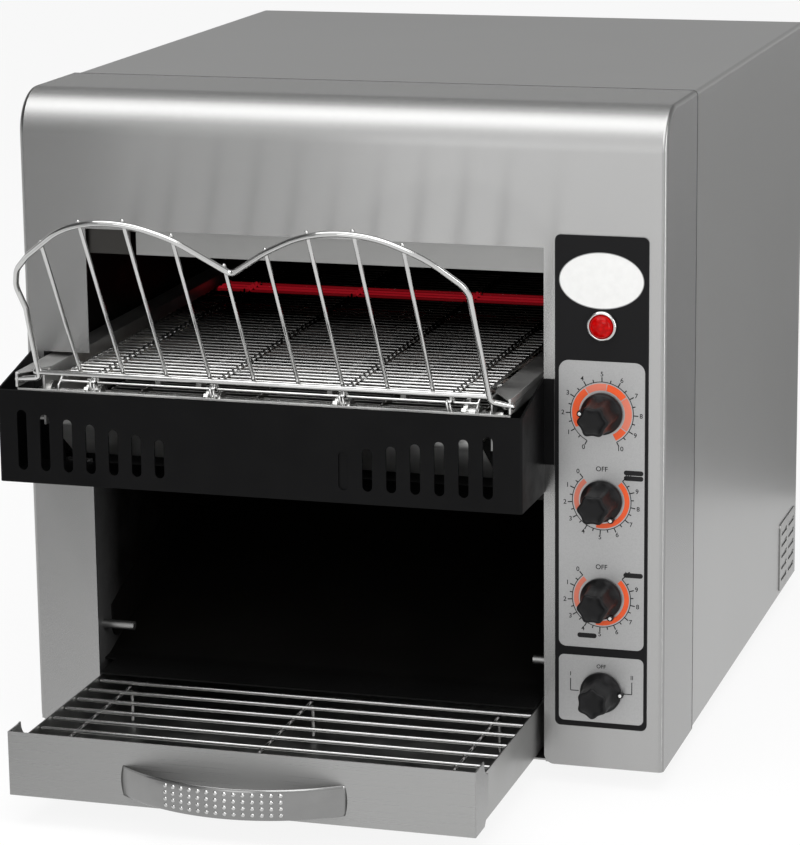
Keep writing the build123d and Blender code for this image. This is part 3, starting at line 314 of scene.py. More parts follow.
# ---------------------------------------------------------------- shader helpers
class Paint:
    """One material: a Principled shader and the textures that vary it."""

    def __init__(self, name, color, metallic=0.0, roughness=0.5, **sockets):
        self.material = bpy.data.materials.new(name)
        self.material.use_nodes = True
        self.tree = self.material.node_tree
        self.shader = self.tree.nodes["Principled BSDF"]
        self.shader.inputs["Base Color"].default_value = (*color, 1)
        self.shader.inputs["Metallic"].default_value = metallic
        self.shader.inputs["Roughness"].default_value = roughness
        for socket, value in sockets.items():
            self.shader.inputs[socket.replace("_", " ")].default_value = value

    def node(self, kind, **settings):
        node = self.tree.nodes.new("ShaderNode" + kind)
        for key, value in settings.items():
            setattr(node, key, value)
        return node

    def link(self, a, b):
        self.tree.links.new(a, b)

    def noise(self, scale, stretch=(1, 1, 1), detail=4.0, roughness=0.55):
        """Noise on the object's own coordinates; a small stretch draws it out along that axis."""
        place, mapping = self.node("TexCoord"), self.node("Mapping")
        mapping.inputs["Scale"].default_value = stretch
        noise = self.node("TexNoise")
        noise.inputs["Scale"].default_value = scale
        noise.inputs["Detail"].default_value = detail
        noise.inputs["Roughness"].default_value = roughness
        self.link(place.outputs["Object"], mapping.inputs["Vector"])
        self.link(mapping.outputs["Vector"], noise.inputs["Vector"])
        return noise.outputs["Fac"]

    def ranged(self, value, low, high, start=0.3, end=0.7):
        """Stretch a texture's middle onto a range of values."""
        spread = self.node("MapRange")
        for socket, number in (("From Min", start), ("From Max", end), ("To Min", low), ("To Max", high)):
            spread.inputs[socket].default_value = number
        self.link(value, spread.inputs["Value"])
        return spread.outputs["Result"]

    def along(self, axis, start, end):
        """0 to 1 between two places on an axis, in bench millimetres."""
        place, split = self.node("TexCoord"), self.node("SeparateXYZ")
        self.link(place.outputs["Object"], split.inputs["Vector"])
        low, high = (getattr(at(v, v, v), axis.lower()) for v in (start, end))
        return self.ranged(split.outputs[axis], 0.0, 1.0, low, high)

    def maths(self, operation, *values):
        """Result of one maths node on sockets and plain numbers."""
        node = self.node("Math", operation=operation)
        for socket, value in zip(node.inputs, values):
            if isinstance(value, float):
                socket.default_value = value
            else:
                self.link(value, socket)
        return node.outputs[0]

    def tint(self, value, dark, light, start=0.3, end=0.7):
        """Colour the surface between two colours by a texture."""
        ramp = self.node("ValToRGB")
        ramp.color_ramp.elements[0].position, ramp.color_ramp.elements[1].position = start, end
        ramp.color_ramp.elements[0].color = (*dark, 1)
        ramp.color_ramp.elements[1].color = (*light, 1)
        self.link(value, ramp.inputs["Fac"])
        self.link(ramp.outputs["Color"], self.shader.inputs["Base Color"])

    def rough(self, value, low, high, start=0.3, end=0.7):
        """Roughness between two values by a texture."""
        self.link(self.ranged(value, low, high, start, end), self.shader.inputs["Roughness"])

    def bump(self, value, strength, depth_mm):
        """Fine relief by a texture."""
        bump = self.node("Bump")
        bump.inputs["Strength"].default_value = strength
        bump.inputs["Distance"].default_value = depth_mm * MM
        self.link(value, bump.inputs["Height"])
        self.link(bump.outputs["Normal"], self.shader.inputs["Normal"])

    def smear(self, way, amount):
        """Way in which brushing smears a reflection; an upright one leans back as the sheet does."""
        self.shader.inputs["Anisotropic"].default_value = amount
        join = self.node("CombineXYZ")
        for axis, share in zip("XYZ", way):
            join.inputs[axis].default_value = share
        if way == UP_THE_FACE:
            geometry, split = self.node("NewGeometry"), self.node("SeparateXYZ")
            self.link(geometry.outputs["Normal"], split.inputs["Vector"])
            self.link(split.outputs["Z"], join.inputs["Y"])
        self.link(join.outputs["Vector"], self.shader.inputs["Tangent"])


# ---------------------------------------------------------------- materials
UP_THE_FACE = (0, 0, 1)           # brushed left to right, so reflections smear up and down
FRONT_TO_BACK = (0, 1, 0)         # brushed over the fold of the cover
LEFT_RIGHT, OVER_FOLD = (0.003, 1, 1), (0.003, 1, 0.003)


def brushed_steel(name, tone, roughness, grain, way, rim=1.0, smear=1.0):
    """Satin stainless sheet.

    grain draws the brush lines out, smear is how far they spread reflections along the way across
    them, and rim is the tint of the sheet seen at a grazing angle.
    """
    paint = Paint(name, (tone, tone, tone * 0.99), metallic=1.0, Specular_Tint=(rim, rim, rim, 1))
    lines = paint.noise(3600, grain, detail=2)
    cloud = paint.noise(9, detail=3)
    both = paint.maths("MULTIPLY", paint.maths("ADD", lines, cloud), 0.5)
    dark, light = tone * 0.98, tone * 1.02
    paint.tint(both, (dark, dark, dark * 0.99), (light, light, light * 0.99), 0.35, 0.65)
    paint.rough(lines, roughness - 0.01, roughness + 0.015)
    paint.bump(lines, 0.006, 0.008)
    paint.smear(way, smear)
    return paint.material


def mill_steel(name, tone, roughness=0.35):
    """Plain sheet and turned parts: faint clouds and fingerprints, no brushing."""
    paint = Paint(name, (tone, tone, tone * 0.985), metallic=1.0)
    cloud = paint.noise(38, detail=5)
    paint.tint(cloud, (tone * 0.86, tone * 0.86, tone * 0.85), (tone * 1.08, tone * 1.08, tone * 1.06))
    paint.rough(cloud, roughness - 0.07, roughness + 0.1)
    paint.bump(paint.noise(1400, detail=2), 0.03, 0.02)
    return paint.material


def burnt_steel(name, mouth_tone):
    """Sheet inside the casing: its own tone at the mouth, darkened further in by painted shade, with stains.
    """
    paint = Paint(name, (0.02, 0.018, 0.016), metallic=0.75, Specular_IOR_Level=0.2)
    stain = paint.noise(24, detail=7, roughness=0.65)
    # painted shade: darker with depth into the casing, mixed with the stain noise
    stain_and_shade = paint.maths("ADD", paint.along("Y", 0, 45), paint.ranged(stain, -0.12, 0.12))
    paint.tint(stain_and_shade, (mouth_tone,) * 3, (0.011, 0.010, 0.009), 0.1, 1.0)
    paint.rough(stain, 0.42, 0.62)
    paint.bump(paint.noise(700, detail=3), 0.1, 0.05)
    return paint.material


def black_enamel():
    """Satin black stoved paint with a faint orange peel."""
    paint = Paint("black_enamel", (0.004, 0.004, 0.0042), Specular_IOR_Level=0.07)
    paint.tint(paint.noise(30, detail=5), (0.0032, 0.0032, 0.0034), (0.0048, 0.0048, 0.005))
    paint.rough(paint.noise(80, detail=4), 0.30, 0.42)
    paint.bump(paint.noise(900, detail=2), 0.06, 0.03)
    return paint.material


def baffle_steel():
    """Mill sheet, painted darker on the tab at its left end for the shade there."""
    clean, tab_shade = (0.3, 0.3, 0.295), (0.055, 0.053, 0.05)
    paint = Paint("baffle_steel", clean, metallic=1.0)
    cloud = paint.noise(38, detail=5)
    # painted shade over the tab left of the slot
    tab = paint.along("X", BAFFLE_SLOT + 1, BAFFLE_SLOT - 1)
    paint.tint(paint.maths("MULTIPLY_ADD", cloud, 0.1, tab), clean, tab_shade, 0.05, 1.0)
    paint.rough(cloud, 0.3, 0.45)
    return paint.material


def polished_steel(name, tone, roughness):
    """Smooth bright metal with faint wipe marks."""
    paint = Paint(name, (tone, tone, tone * 0.985), metallic=1.0)
    wiped = paint.noise(70, detail=4)
    paint.tint(wiped, (tone * 0.95, tone * 0.95, tone * 0.94), (tone * 1.05, tone * 1.05, tone * 1.04))
    paint.rough(wiped, roughness * 0.85, roughness * 1.2)
    return paint.material


def belt_steel():
    """Bright wire on top at the front; painted shade darkens it below and further in, and a band of painted
    red glow stands for the heating tubes' light.
    """
    bright, shade_dark = (0.8, 0.8, 0.79), (0.02, 0.017, 0.015)
    paint = Paint("belt_wire", bright, metallic=1.0)
    marks = paint.noise(160, (0.05, 1, 1), detail=4)
    middle = PIVOTS["front_shaft_spin"].z
    # painted shade: the wire darkens further in and below the front shaft's middle, mixed with the wear
    # marks
    shade_inward = paint.along("Y", -10, 170)
    below = paint.maths("MULTIPLY", paint.along("Z", middle + 11, middle + 6), 0.72)
    wear_and_shade = paint.maths("MULTIPLY_ADD", marks, 0.12, paint.maths("MAXIMUM", shade_inward, below))
    paint.tint(wear_and_shade, bright, shade_dark, 0.1, 1.0)
    paint.rough(marks, 0.28, 0.46)
    # painted glow: a red emission band stands for the heating tubes' light falling on the wires
    near, far = paint.along("Y", GLOW_NEAR, GLOW_NEAR + 5), paint.along("Y", GLOW_FAR, GLOW_FAR - 5)
    band = paint.maths("MULTIPLY", near, far)
    band = paint.maths("MULTIPLY", band, paint.along("Z", middle, middle + 2))
    paint.shader.inputs["Emission Color"].default_value = (1.0, 0.02, 0.04, 1)
    paint.link(paint.maths("MULTIPLY", band, 0.2), paint.shader.inputs["Emission Strength"])
    return paint.material


def frosted_quartz():
    """Milky heating tube."""
    paint = Paint("frosted_quartz", (0.5, 0.42, 0.38), roughness=0.3, Transmission_Weight=0.4)
    paint.rough(paint.noise(90, detail=4), 0.22, 0.42)
    return paint.material


def moulded(name, color, roughness, level=0.4, grain=1200):
    """Moulded plastic or rubber with a fine tooth."""
    paint = Paint(name, color, Specular_IOR_Level=level)
    cloud = paint.noise(45, detail=4)
    paint.tint(cloud, tuple(c * 0.85 for c in color), tuple(c * 1.12 for c in color))
    paint.rough(cloud, roughness - 0.05, roughness + 0.07)
    paint.bump(paint.noise(grain, detail=2), 0.05, 0.03)
    return paint.material


def printed(name, color, roughness=0.4, level=0.3):
    """Screen-printed ink, slightly uneven."""
    paint = Paint(name, color, Specular_IOR_Level=level)
    cloud = paint.noise(260, detail=3)
    paint.tint(cloud, tuple(c * 0.97 for c in color), tuple(min(1, c * 1.02) for c in color))
    paint.rough(cloud, roughness - 0.05, roughness + 0.08)
    return paint.material


def panel_silver():
    """Satin silver film of the dial panel."""
    paint = Paint("panel_silver", (0.4, 0.4, 0.4), metallic=0.85)
    fine = paint.noise(1500, detail=2)
    paint.tint(fine, (0.38, 0.38, 0.38), (0.43, 0.43, 0.43))
    paint.rough(fine, 0.38, 0.5)
    paint.bump(fine, 0.05, 0.02)
    return paint.material


def lit_lens():
    """Red pilot lamp, lit."""
    paint = Paint("lit_lens", (0.14, 0.0, 0.0), roughness=0.15, Specular_IOR_Level=0.12)
    cells = paint.node("TexVoronoi")
    cells.inputs["Scale"].default_value = 420
    place = paint.node("TexCoord")
    paint.link(place.outputs["Object"], cells.inputs["Vector"])
    paint.shader.inputs["Emission Color"].default_value = (0.8, 0.002, 0.002, 1)
    strength = paint.ranged(cells.outputs["Distance"], 0.6, 0.3, 0.0, 0.6)
    paint.link(strength, paint.shader.inputs["Emission Strength"])
    paint.bump(cells.outputs["Distance"], 0.15, 0.3)
    return paint.material


shell_steel = brushed_steel("shell_steel", 0.355, 0.25, LEFT_RIGHT, UP_THE_FACE, 0.86)
cover_steel = brushed_steel("cover_steel", 0.38, 0.33, OVER_FOLD, FRONT_TO_BACK, smear=0.4)
back_steel = brushed_steel("back_steel", 0.36, 0.33, LEFT_RIGHT, UP_THE_FACE)
tray_steel = brushed_steel("tray_steel", 0.32, 0.28, LEFT_RIGHT, UP_THE_FACE)
handle_steel = polished_steel("handle_steel", 0.26, 0.18)
# lighter copy of the strap's steel: painted highlight on the pressed dots
dot_highlight_steel = polished_steel("dot_highlight_steel", 0.52, 0.14)
plain_steel = mill_steel("plain_steel", 0.34)
baffle = baffle_steel()
rail_steel = mill_steel("rail_steel", 0.62, 0.42)
# a much lighter copy of mill steel: painted light on the apron, which sits in shade
apron_lit_steel = mill_steel("apron_lit_steel", 0.8, 0.6)
shaft_steel = mill_steel("shaft_steel", 0.5, 0.25)
# inner sheets painted darker from the mouth inward as shade
inner_shaded = burnt_steel("burnt_steel", 0.012)
mouth_steel = burnt_steel("mouth_steel", 0.2)
enamel = black_enamel()
belt_wire = belt_steel()
chrome_wire = polished_steel("chrome_wire", 0.56, 0.05)
rack_wire = polished_steel("rack_wire", 0.42, 0.18)
rubber = moulded("rubber", (0.02, 0.02, 0.02), 0.75, 0.25)
ceramic = moulded("ceramic", (0.72, 0.68, 0.6), 0.6, 0.3, 500)
control_plastic = moulded("control_plastic", (0.03, 0.03, 0.033), 0.45)
motor_paint = moulded("motor_paint", (0.09, 0.10, 0.11), 0.4)
fan_plastic = moulded("fan_plastic", (0.012, 0.012, 0.012), 0.45)
knob_plastic = moulded("knob_plastic", (0.004, 0.004, 0.0045), 0.4, 0.2, 1600)
panel_black = printed("panel_black", (0.005, 0.005, 0.0055), 0.35, 0.13)
ink_black = printed("ink_black", (0.008, 0.008, 0.0085), 0.4, 0.2)
ink_grey = printed("ink_grey", (0.25, 0.25, 0.25))
ink_orange = printed("ink_orange", (0.72, 0.09, 0.02))
ink_pink = printed("ink_pink", (0.62, 0.17, 0.11))
ink_white = printed("ink_white", (0.68, 0.68, 0.67))
silver = panel_silver()
lens_red = lit_lens()
quartz = frosted_quartz()


def finish(obj, material, body, slot, *stands_for):
    """Material and body of a new piece, hiding the nodes it stands for; slot is not used."""
    obj.data.materials.clear()
    obj.data.materials.append(material)
    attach(obj, body)
    if stands_for:
        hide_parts(*stands_for)


def edges(obj, width):
    """Soft edges by modifiers: weld the facets, round what is sharper than the limit."""
    weld = obj.modifiers.new("weld", "WELD")
    weld.merge_threshold = 0.01 * MM
    bevel = obj.modifiers.new("edges", "BEVEL")
    bevel.width, bevel.segments = width * MM, 3
    bevel.limit_method, bevel.angle_limit = "ANGLE", math.radians(35)
    obj.modifiers.new("normals", "WEIGHTED_NORMAL").keep_sharp = False


# ---------------------------------------------------------------- CAD nodes that stay
def dress_cad():
    """Materials and soft edges of the CAD nodes that keep their shape."""
    looks = {
        shell_steel: ("front_shell",),
        cover_steel: ("body_cover",),
        back_steel: ("back_panel",),
        tray_steel: ("tray_fascia",),
        baffle: ("heat_baffle",),
        plain_steel: ("base_pan", "chute_pins", "tray_runners", "tray_pan", "motor_bracket",
                      "side_vent_plate", "rail_spacers", "belt_runners"),
        rail_steel: ("conveyor_rail_left", "conveyor_rail_right"),
        apron_lit_steel: ("front_apron",),
        inner_shaded: ("top_reflector", "chamber_floor", "rear_deflector", "discharge_chute"),
        mouth_steel: ("inner_wall_left", "inner_wall_right"),
        enamel: ("front_trough",),
        shaft_steel: ("front_shaft", "drive_shaft", "front_sprockets", "rear_sprockets", "motor_sprocket",
                      "drive_sprocket", "drive_chain", "shaft_bushes", "case_screws", "speed_spindle",
                      "top_heat_spindle", "bottom_heat_spindle", "power_spindle"),
        ceramic: ("tube_holders",),
        quartz: ("top_heating_tubes", "bottom_heating_tubes"),
        rubber: ("feet",),
        control_plastic: ("speed_control", "top_heat_control", "bottom_heat_control", "power_switch",
                          "terminal_block", "cord_gland"),
        motor_paint: ("gear_motor",),
        fan_plastic: ("fan_frame", "fan_rotor"),
    }
    soft = {"front_shell": 0.35, "tray_fascia": 0.3, "front_trough": 0.4, "tray_pan": 0.25,
            "feet": 0.8, "front_apron": 0.2, "gear_motor": 0.5, "fan_frame": 0.5,
            "side_vent_plate": 0.25, "conveyor_rail_left": 0.3, "conveyor_rail_right": 0.3}
    for material, names in looks.items():
        for name in names:
            nodes[name].data.materials.clear()
            nodes[name].data.materials.append(material)
    for name, width in soft.items():
        edges(nodes[name], width)


# ---------------------------------------------------------------- conveyor belt
def track(s, h):
    """(y, z) at a distance s round the belt's racetrack and a height h outside it."""
    front, rear = PIVOTS["front_shaft_spin"], PIVOTS["drive_shaft_spin"]
    span, bend = rear.y - front.y, math.pi * PITCH_R
    s %= 2 * (span + bend)
    r = PITCH_R + h
    if s < span:
        return front.y + s, front.z + r
    if s < span + bend:
        a = math.pi / 2 - (s - span) / PITCH_R
        return rear.y + r * math.cos(a), rear.z + r * math.sin(a)
    if s < 2 * span + bend:
        return rear.y - (s - span - bend), rear.z - r
    a = -math.pi / 2 - (s - 2 * span - bend) / PITCH_R
    return front.y + r * math.cos(a), front.z + r * math.sin(a)


def belt_strand(s):
    """One cross wire, hooked forward onto its neighbour at each joint row and at both edges.

    Each knot is (distance across from the middle, distance forward, height, bend radius).
    """
    p, d = BELT_PITCH, WIRE_D
    end = BELT_HALF - d / 2
    hook = [(1.2, p + 0.2, -0.9 * d, 0), (0.2, p + 0.9 * d, -0.1 * d, 1.2), (0, 0.55 * p, 0.5 * d, 1.5),
            (0.3, 0.1, 0, 1.0)]
    link = [(-1.4, 0, 0, 0.8), (-3.4, 0.8 * p, 0.7 * d, 1.0), (-3.9, p + 0.7 * d, 0.3 * d, 0.8),
            (-3.2, p + 0.9 * d, -0.2 * d, 0.8), (-2.5, p + 0.3 * d, -0.7 * d, 0.8),
            (-1.6, 0.7 * p, -0.5 * d, 1.0), (0.6, 0, 0, 0.8)]
    knots = [(-end + x, ahead, high, bend) for x, ahead, high, bend in hook]
    for row in JOINT_ROWS:
        knots += [(row + x, ahead, high, bend) for x, ahead, high, bend in link]
    knots += [(end - x, ahead, high, bend) for x, ahead, high, bend in reversed(hook)]
    points = []
    for x, ahead, high, _ in knots:
        y, z = track(s + ahead, high)
        points.append((CONV_MID + x, y, z))
    return rounded(points, [knot[3] for knot in knots[1:-1]], step=24)


def conveyor_belt():
    """As many strands as the racetrack holds."""
    span = PIVOTS["drive_shaft_spin"].y - PIVOTS["front_shaft_spin"].y
    count = round(2 * span / BELT_PITCH) + SPROCKET_PITCHES
    wires = Build()
    for i in range(count):
        wires.tube(belt_strand(i * BELT_PITCH), WIRE_D / 2, sides=8)
    finish(wires.make("wire_belt_strands"), belt_wire, "casing", "belt_wire", "wire_belt")


# ---------------------------------------------------------------- guard
def guard_point(x, height, back=0.0):
    """Point on the guard's leaning plane, or behind it."""
    return GUARD_FOOT + Vector((x, 0, 0)) + GUARD_UP * height + GUARD_BEHIND * back


def guard_knots():
    """Main wire between its ends, up the right side, over both humps and down the left side.

    Each knot is (distance across from the middle, height up the plane, bend radius).
    """
    right = [(131.2, 9, 5), (131.2, 88, 16), (112, 108, 60), (88, 121, 60), (66, 123.5, 60), (46, 119.5, 60),
             (26, 108, 60)]
    dip = [(4, 91.5, 3.5)]
    left = [(-24, 114, 60), (-44, 122.5, 60), (-64, 124.2, 60), (-85, 118.5, 60), (-108.5, 98.5, 9),
            (-117.5, 88, 16), (-121.0, 76, 20), (-119.2, 60, 12), (-124.2, 8, 5)]
    return right + dip + left


def guard_top(x):
    """Height of the main wire at a rod."""
    knots, heights = guard_knots(), []
    for (xa, high_a, _), (xb, high_b, _) in zip(knots, knots[1:]):
        if xb < x <= xa:
            heights.append(high_a + (high_b - high_a) * (x - xa) / (xb - xa))
    return max(heights)


def wire_guard():
    """Polished wire guard: double-humped main wire, bottom bar and upright rods behind them."""
    pivot, knots, wires = PIVOTS["guard_fold"], guard_knots(), Build()
    right, left = ([Vector((CONV_MID + side * x, pivot.y, pivot.z)) for x in (GUARD_END_IN, GUARD_END_OUT)]
                   for side in (1, -1))
    points = right + [guard_point(x, height) for x, height, _ in knots] + left[::-1]
    bends = [GUARD_END_BEND, *(bend for _, _, bend in knots), GUARD_END_BEND]
    wires.tube(rounded(points, bends, step=4), GUARD_WIRE_D / 2, sides=20)
    wires.tube([guard_point(x, GUARD_BAR) for x in GUARD_BAR_ENDS], GUARD_BAR_D / 2, sides=16)
    back, past_bar, past_wire = (GUARD_WIRE_D + GUARD_ROD_D) / 2 - 0.4, 1.4, 0.7
    for i in range(GUARD_ROD_COUNT):
        x = GUARD_ROD_STEP * (i - (GUARD_ROD_COUNT - 1) / 2)
        ends = (GUARD_BAR - past_bar, guard_top(x) + past_wire)
        wires.tube([guard_point(x, height, back) for height in ends], GUARD_ROD_D / 2, sides=14)
    finish(wires.make("toast_guard"), chrome_wire, "guard", "chrome_wire", "wire_guard")


# ---------------------------------------------------------------- tray
def toast_rack():
    """Cross wires on three long ones that stand on the tray's floor."""
    wires, radius, gap, inset = Build(), RACK_WIRE_D / 2, 2, 20
    for i in range(RACK_COUNT):
        y = RACK_REAR - RACK_STEP * i
        wires.tube([(TRAY_L + gap, y, RACK_TOP), (TRAY_R - gap, y, RACK_TOP)], radius, sides=14)
    low, high, front, rear = TRAY_FLOOR + 2.1, RACK_TOP - 2.2, FASCIA_FRONT + 5, RACK_REAR + radius
    for x in (TRAY_L + inset, (TRAY_L + TRAY_R) / 2, TRAY_R - inset):
        corners = [(x, front, low), (x, front, high), (x, rear, high), (x, rear, low)]
        wires.tube(rounded(corners, [RACK_BEND, RACK_BEND]), radius, sides=14)
    finish(wires.make("rack_wires"), rack_wire, "tray", "chrome_wire", "toast_rack")


def tray_handle():
    """Bowed strap with a crowned front, and rows of pressed dots on its grip."""
    radius = (HANDLE_HALF ** 2 + HANDLE_BOW ** 2) / (2 * HANDLE_BOW)
    half_turn = math.asin(HANDLE_HALF / radius)
    centre_y = FASCIA_FRONT - HANDLE_BOW + radius
    mid_z, half_tall = (HANDLE_BOT + HANDLE_TOP) / 2, (HANDLE_TOP - HANDLE_BOT) / 2

    def bow(turn, out, z):
        r = radius + out
        return (HANDLE_MID + r * math.sin(turn), centre_y - r * math.cos(turn), z)

    def front(rise):
        """How far the crowned front stands out at a height over its middle line."""
        return -HANDLE_CROWN * (rise / half_tall) ** 2

    stations, edge, back = 60, 0.25, -HANDLE_T
    side = -HANDLE_CROWN - edge
    rises = [(half_tall - edge) * (k / 6 - 1) for k in range(13)]
    section = [(front(rise), mid_z + rise) for rise in rises]
    section += [(side, HANDLE_TOP), (back + edge, HANDLE_TOP), (back, HANDLE_TOP - edge)]
    section += [(back, HANDLE_BOT + edge), (back + edge, HANDLE_BOT), (side, HANDLE_BOT)]
    turns = [half_turn * (2 * i / stations - 1) for i in range(stations + 1)]
    verts = [bow(turn, out, z) for turn in turns for out, z in section]
    faces = ring_walls(len(turns), len(section)) + ring_caps(len(turns), len(section))
    strap = mesh_object("handle_strap", verts, faces)
    finish(strap, handle_steel, "tray", "brushed_steel", "tray_handle")

    dots, sides = Build(), 10
    dome = ((1.25, -0.05), (1.1, 0.35), (0.65, 0.62), (0.02, 0.72))
    for column in range(DOT_COLUMNS):
        turn = (column - (DOT_COLUMNS - 1) / 2) * DOT_STEP_ACROSS / radius
        for row in range(DOT_ROWS):
            middle, verts = (row - (DOT_ROWS - 1) / 2) * DOT_STEP_UP, []
            for r, high in dome:
                for k in range(sides):
                    a = 2 * math.pi * k / sides
                    rise = middle + r * math.sin(a)
                    verts.append(bow(turn + r * math.cos(a) / radius, high + front(rise), mid_z + rise))
            dots.add(verts, ring_walls(len(dome), sides))
    # the dots take the lighter steel as a painted highlight
    finish(dots.make("handle_dots"), dot_highlight_steel, "tray", "brushed_steel")


# ---------------------------------------------------------------- casing
def casing_seam():
    """Black strip along the rear edge of the front shell, up both sides and over the top: the joint, with a
    painted shadow line in it.
    """
    # the strip stands just proud of the cover as the painted shadow in the joint
    proud, deep, wide, low = 0.04, 0.6, 1.2, 0.5

    def folded(out):
        """Path round the casing at a distance outside its faces and its folds."""
        left, right, top = -out, BODY_W + out, BODY_H + out
        return rounded([(left, low), (left, top), (right, top), (right, low)], [FOLD_R + out] * 2, step=16)

    outer, inner = folded(proud), folded(-deep)
    front, rear, count = SHELL_WRAP - wide, SHELL_WRAP, len(outer)
    section = ((front, outer), (front, inner), (rear, inner), (rear, outer))
    verts = [(path[i][0], y, path[i][1]) for i in range(count) for y, path in section]
    faces = ring_walls(count, len(section)) + ring_caps(count, len(section))
    finish(mesh_object("casing_seam", verts, faces, smooth=False), enamel, "casing", "black_enamel")


# ---------------------------------------------------------------- control panel
def control_panel():
    """Black plate with two silver fields and a blank white badge."""
    holes = {name: ring_loop(KNOB_X, z, SPINDLE_HOLE_R) for name, z in KNOB_Z.items()}
    outline = box_loop(PANEL_L, PANEL_R, PANEL_BOT, PANEL_TOP, 3)
    lamp_hole = ring_loop(KNOB_X, LAMP_Z, LAMP_HOLE_R)
    plate = sheet_of("panel_plate", [outline, *holes.values(), lamp_hole], PANEL_T, PANEL_T, 0.15)
    finish(plate, panel_black, "casing", "panel_face", "control_plate")
    upper = [box_loop(FIELD_L, FIELD_R, *FIELD_HIGH, 4, 5.5)]
    upper += [holes[name] for name in ("speed", "top_heat", "bottom_heat")]
    lower = [box_loop(FIELD_L, FIELD_R, *FIELD_LOW, 3), holes["power"]]
    fields = [sheet_of("field", loops, FILM_FRONT, FILM_T) for loops in (upper, lower)]
    finish(joined("panel_fields", fields), silver, "casing", "panel_face")
    oval = sheet_of("badge_oval", [ring_loop(PANEL_MID, OVAL_Z, OVAL_HALF, OVAL_HIGH)], FILM_FRONT, FILM_T)
    finish(oval, ink_white, "casing", "panel_face")
    rim = [ring_loop(PANEL_MID, OVAL_Z, OVAL_HALF + r, OVAL_HIGH + r) for r in (0.1, -0.35)]
    finish(sheet_of("badge_rim", rim, INK_FRONT, INK_T), ink_grey, "casing", "panel_face")


def dial_printing():
    """Lines, bands and numbers of all four dials, each kind as one piece."""
    marks, orange, pink, words = [], [], [], []
    speed_dial(marks, orange, pink, words)
    pills = {"top_heat": ((17.6, 16.4), (17.6, 13.4)), "bottom_heat": ((17.6, 14.0), (-8.0, -21.6))}
    for name, places in pills.items():
        heat_dial(KNOB_Z[name], places, marks, orange, pink, words)
    power_marks(marks, words)
    for name, loops, paint in (("dial_lines", marks, ink_black), ("dial_bands", orange, ink_orange),
                               ("dial_bands_pale", pink, ink_pink)):
        sheets = [sheet_of("print", [loop], INK_FRONT, INK_T) for loop in loops]
        finish(joined(name, sheets), paint, "casing", "panel_face")
    finish(lettering(words, INK_FRONT), ink_black, "casing", "panel_face")


def dial_scale(z, ring, first, step, marks, words):
    """Eleven numbered ticks with short ones between them, outside an open ring."""
    ticks, tick_wide = 21, 0.62
    last = first + step * (ticks - 1)
    marks.append(band_loop(KNOB_X, z, ring - 0.25, ring + 0.2, min(first, last), max(first, last)))
    for i in range(ticks):
        turn = first + step * i
        reach = ring + (TICK_SHORT if i % 2 else TICK_LONG)
        marks.append(line_loop(clock(KNOB_X, z, ring, turn), clock(KNOB_X, z, reach, turn), tick_wide))
        if i % 2 == 0:
            words.append((str(i // 2), *clock(KNOB_X, z, ring + NUMBER_OUT, turn), NUMBER_TALL))


def speed_dial(marks, orange, pink, words):
    """Scale round a ring of strong and pale bands, each from one clock angle to another."""
    z, ring = KNOB_Z["speed"], SPEED_RING_R
    dial_scale(z, ring, 208, 15.2, marks, words)
    strong, pale = ((240, 324), (371, 414), (486, 512)), ((326, 369), (416, 484))
    for bands, spans in ((orange, strong), (pink, pale)):
        bands += [band_loop(KNOB_X, z, BAND_IN, ring - BAND_GAP, start, end) for start, end in spans]


def heat_dial(z, pills, marks, orange, pink, words):
    """Scale with OFF over it, two bands, and blank pills placed from the knob's middle."""
    ring, pill_half, pill_high = HEAT_RING_R, 5.4, 1.35
    dial_scale(z, ring, 320, -13.75, marks, words)
    words.append(("OFF", KNOB_X, z + 17.6, 2.6))
    orange.append(band_loop(KNOB_X, z, BAND_IN, ring - BAND_GAP, 45, 192))
    pink.append(band_loop(KNOB_X, z, BAND_IN, ring - BAND_GAP, 248, 320))
    for right, up in pills:
        x, h = KNOB_X + right, z + up
        marks.append(box_loop(x - pill_half, x + pill_half, h - pill_high, h + pill_high, 1.3))


def power_marks(marks, words):
    """OFF over the knob, and on each side a mark with a bent line from it to the knob."""
    z, out, close, rise, wide = KNOB_Z["power"], 17.2, 12.6, 6.9, 0.5
    words.append(("OFF", KNOB_X, z + 14.6, 2.1))
    for side, word in ((-1, "I"), (1, "II")):
        far, near = KNOB_X + side * out, KNOB_X + side * close
        words.append((word, far, z + rise + 2.5, 2.3))
        marks.append(line_loop((far, z + rise), (far, z), wide))
        marks.append(line_loop((far, z), (near, z), wide))


# ---------------------------------------------------------------- knobs and lamp
def star_radius(turn):
    """Outline of the grip: six soft points with hollow sides."""
    point, side, sharpness = 8.7, 7.4, 1.25
    wave = 0.5 + 0.5 * math.cos(6 * turn)
    return side + (point - side) * wave ** sharpness


def knob_levels():
    """Each level of a knob as (height, share of the star, radius of the round, scale of the star)."""
    skirt = ((0.0, KNOB_SKIRT_R - 0.5), (0.3, KNOB_SKIRT_R), (1.5, KNOB_SKIRT_R), (2.2, KNOB_SKIRT_R - 0.25),
             (2.8, KNOB_SKIRT_R - 0.8))
    blend = ((3.3, 10.4, 0.06), (4.0, 10.3, 0.2), (5.0, 10.1, 0.5), (6.2, 9.9, 0.8), (7.6, 9.7, 1.0))
    tip = ((-14, 1.05), (-8, 1.025), (-1.3, 1.0), (-0.8, 0.99), (-0.4, 0.965), (-0.12, 0.925), (0, 0.87),
           (0, 0.8), (-0.25, 0.76), (-0.45, 0.72), (-0.5, 0.4), (-0.5, 0.02))
    levels = [(high, 0.0, r, 1.0) for high, r in skirt]
    levels += [(high, share, r, 1.07) for high, r, share in blend]
    return levels + [(KNOB_TALL + below, 1.0, 0.0, scale) for below, scale in tip]


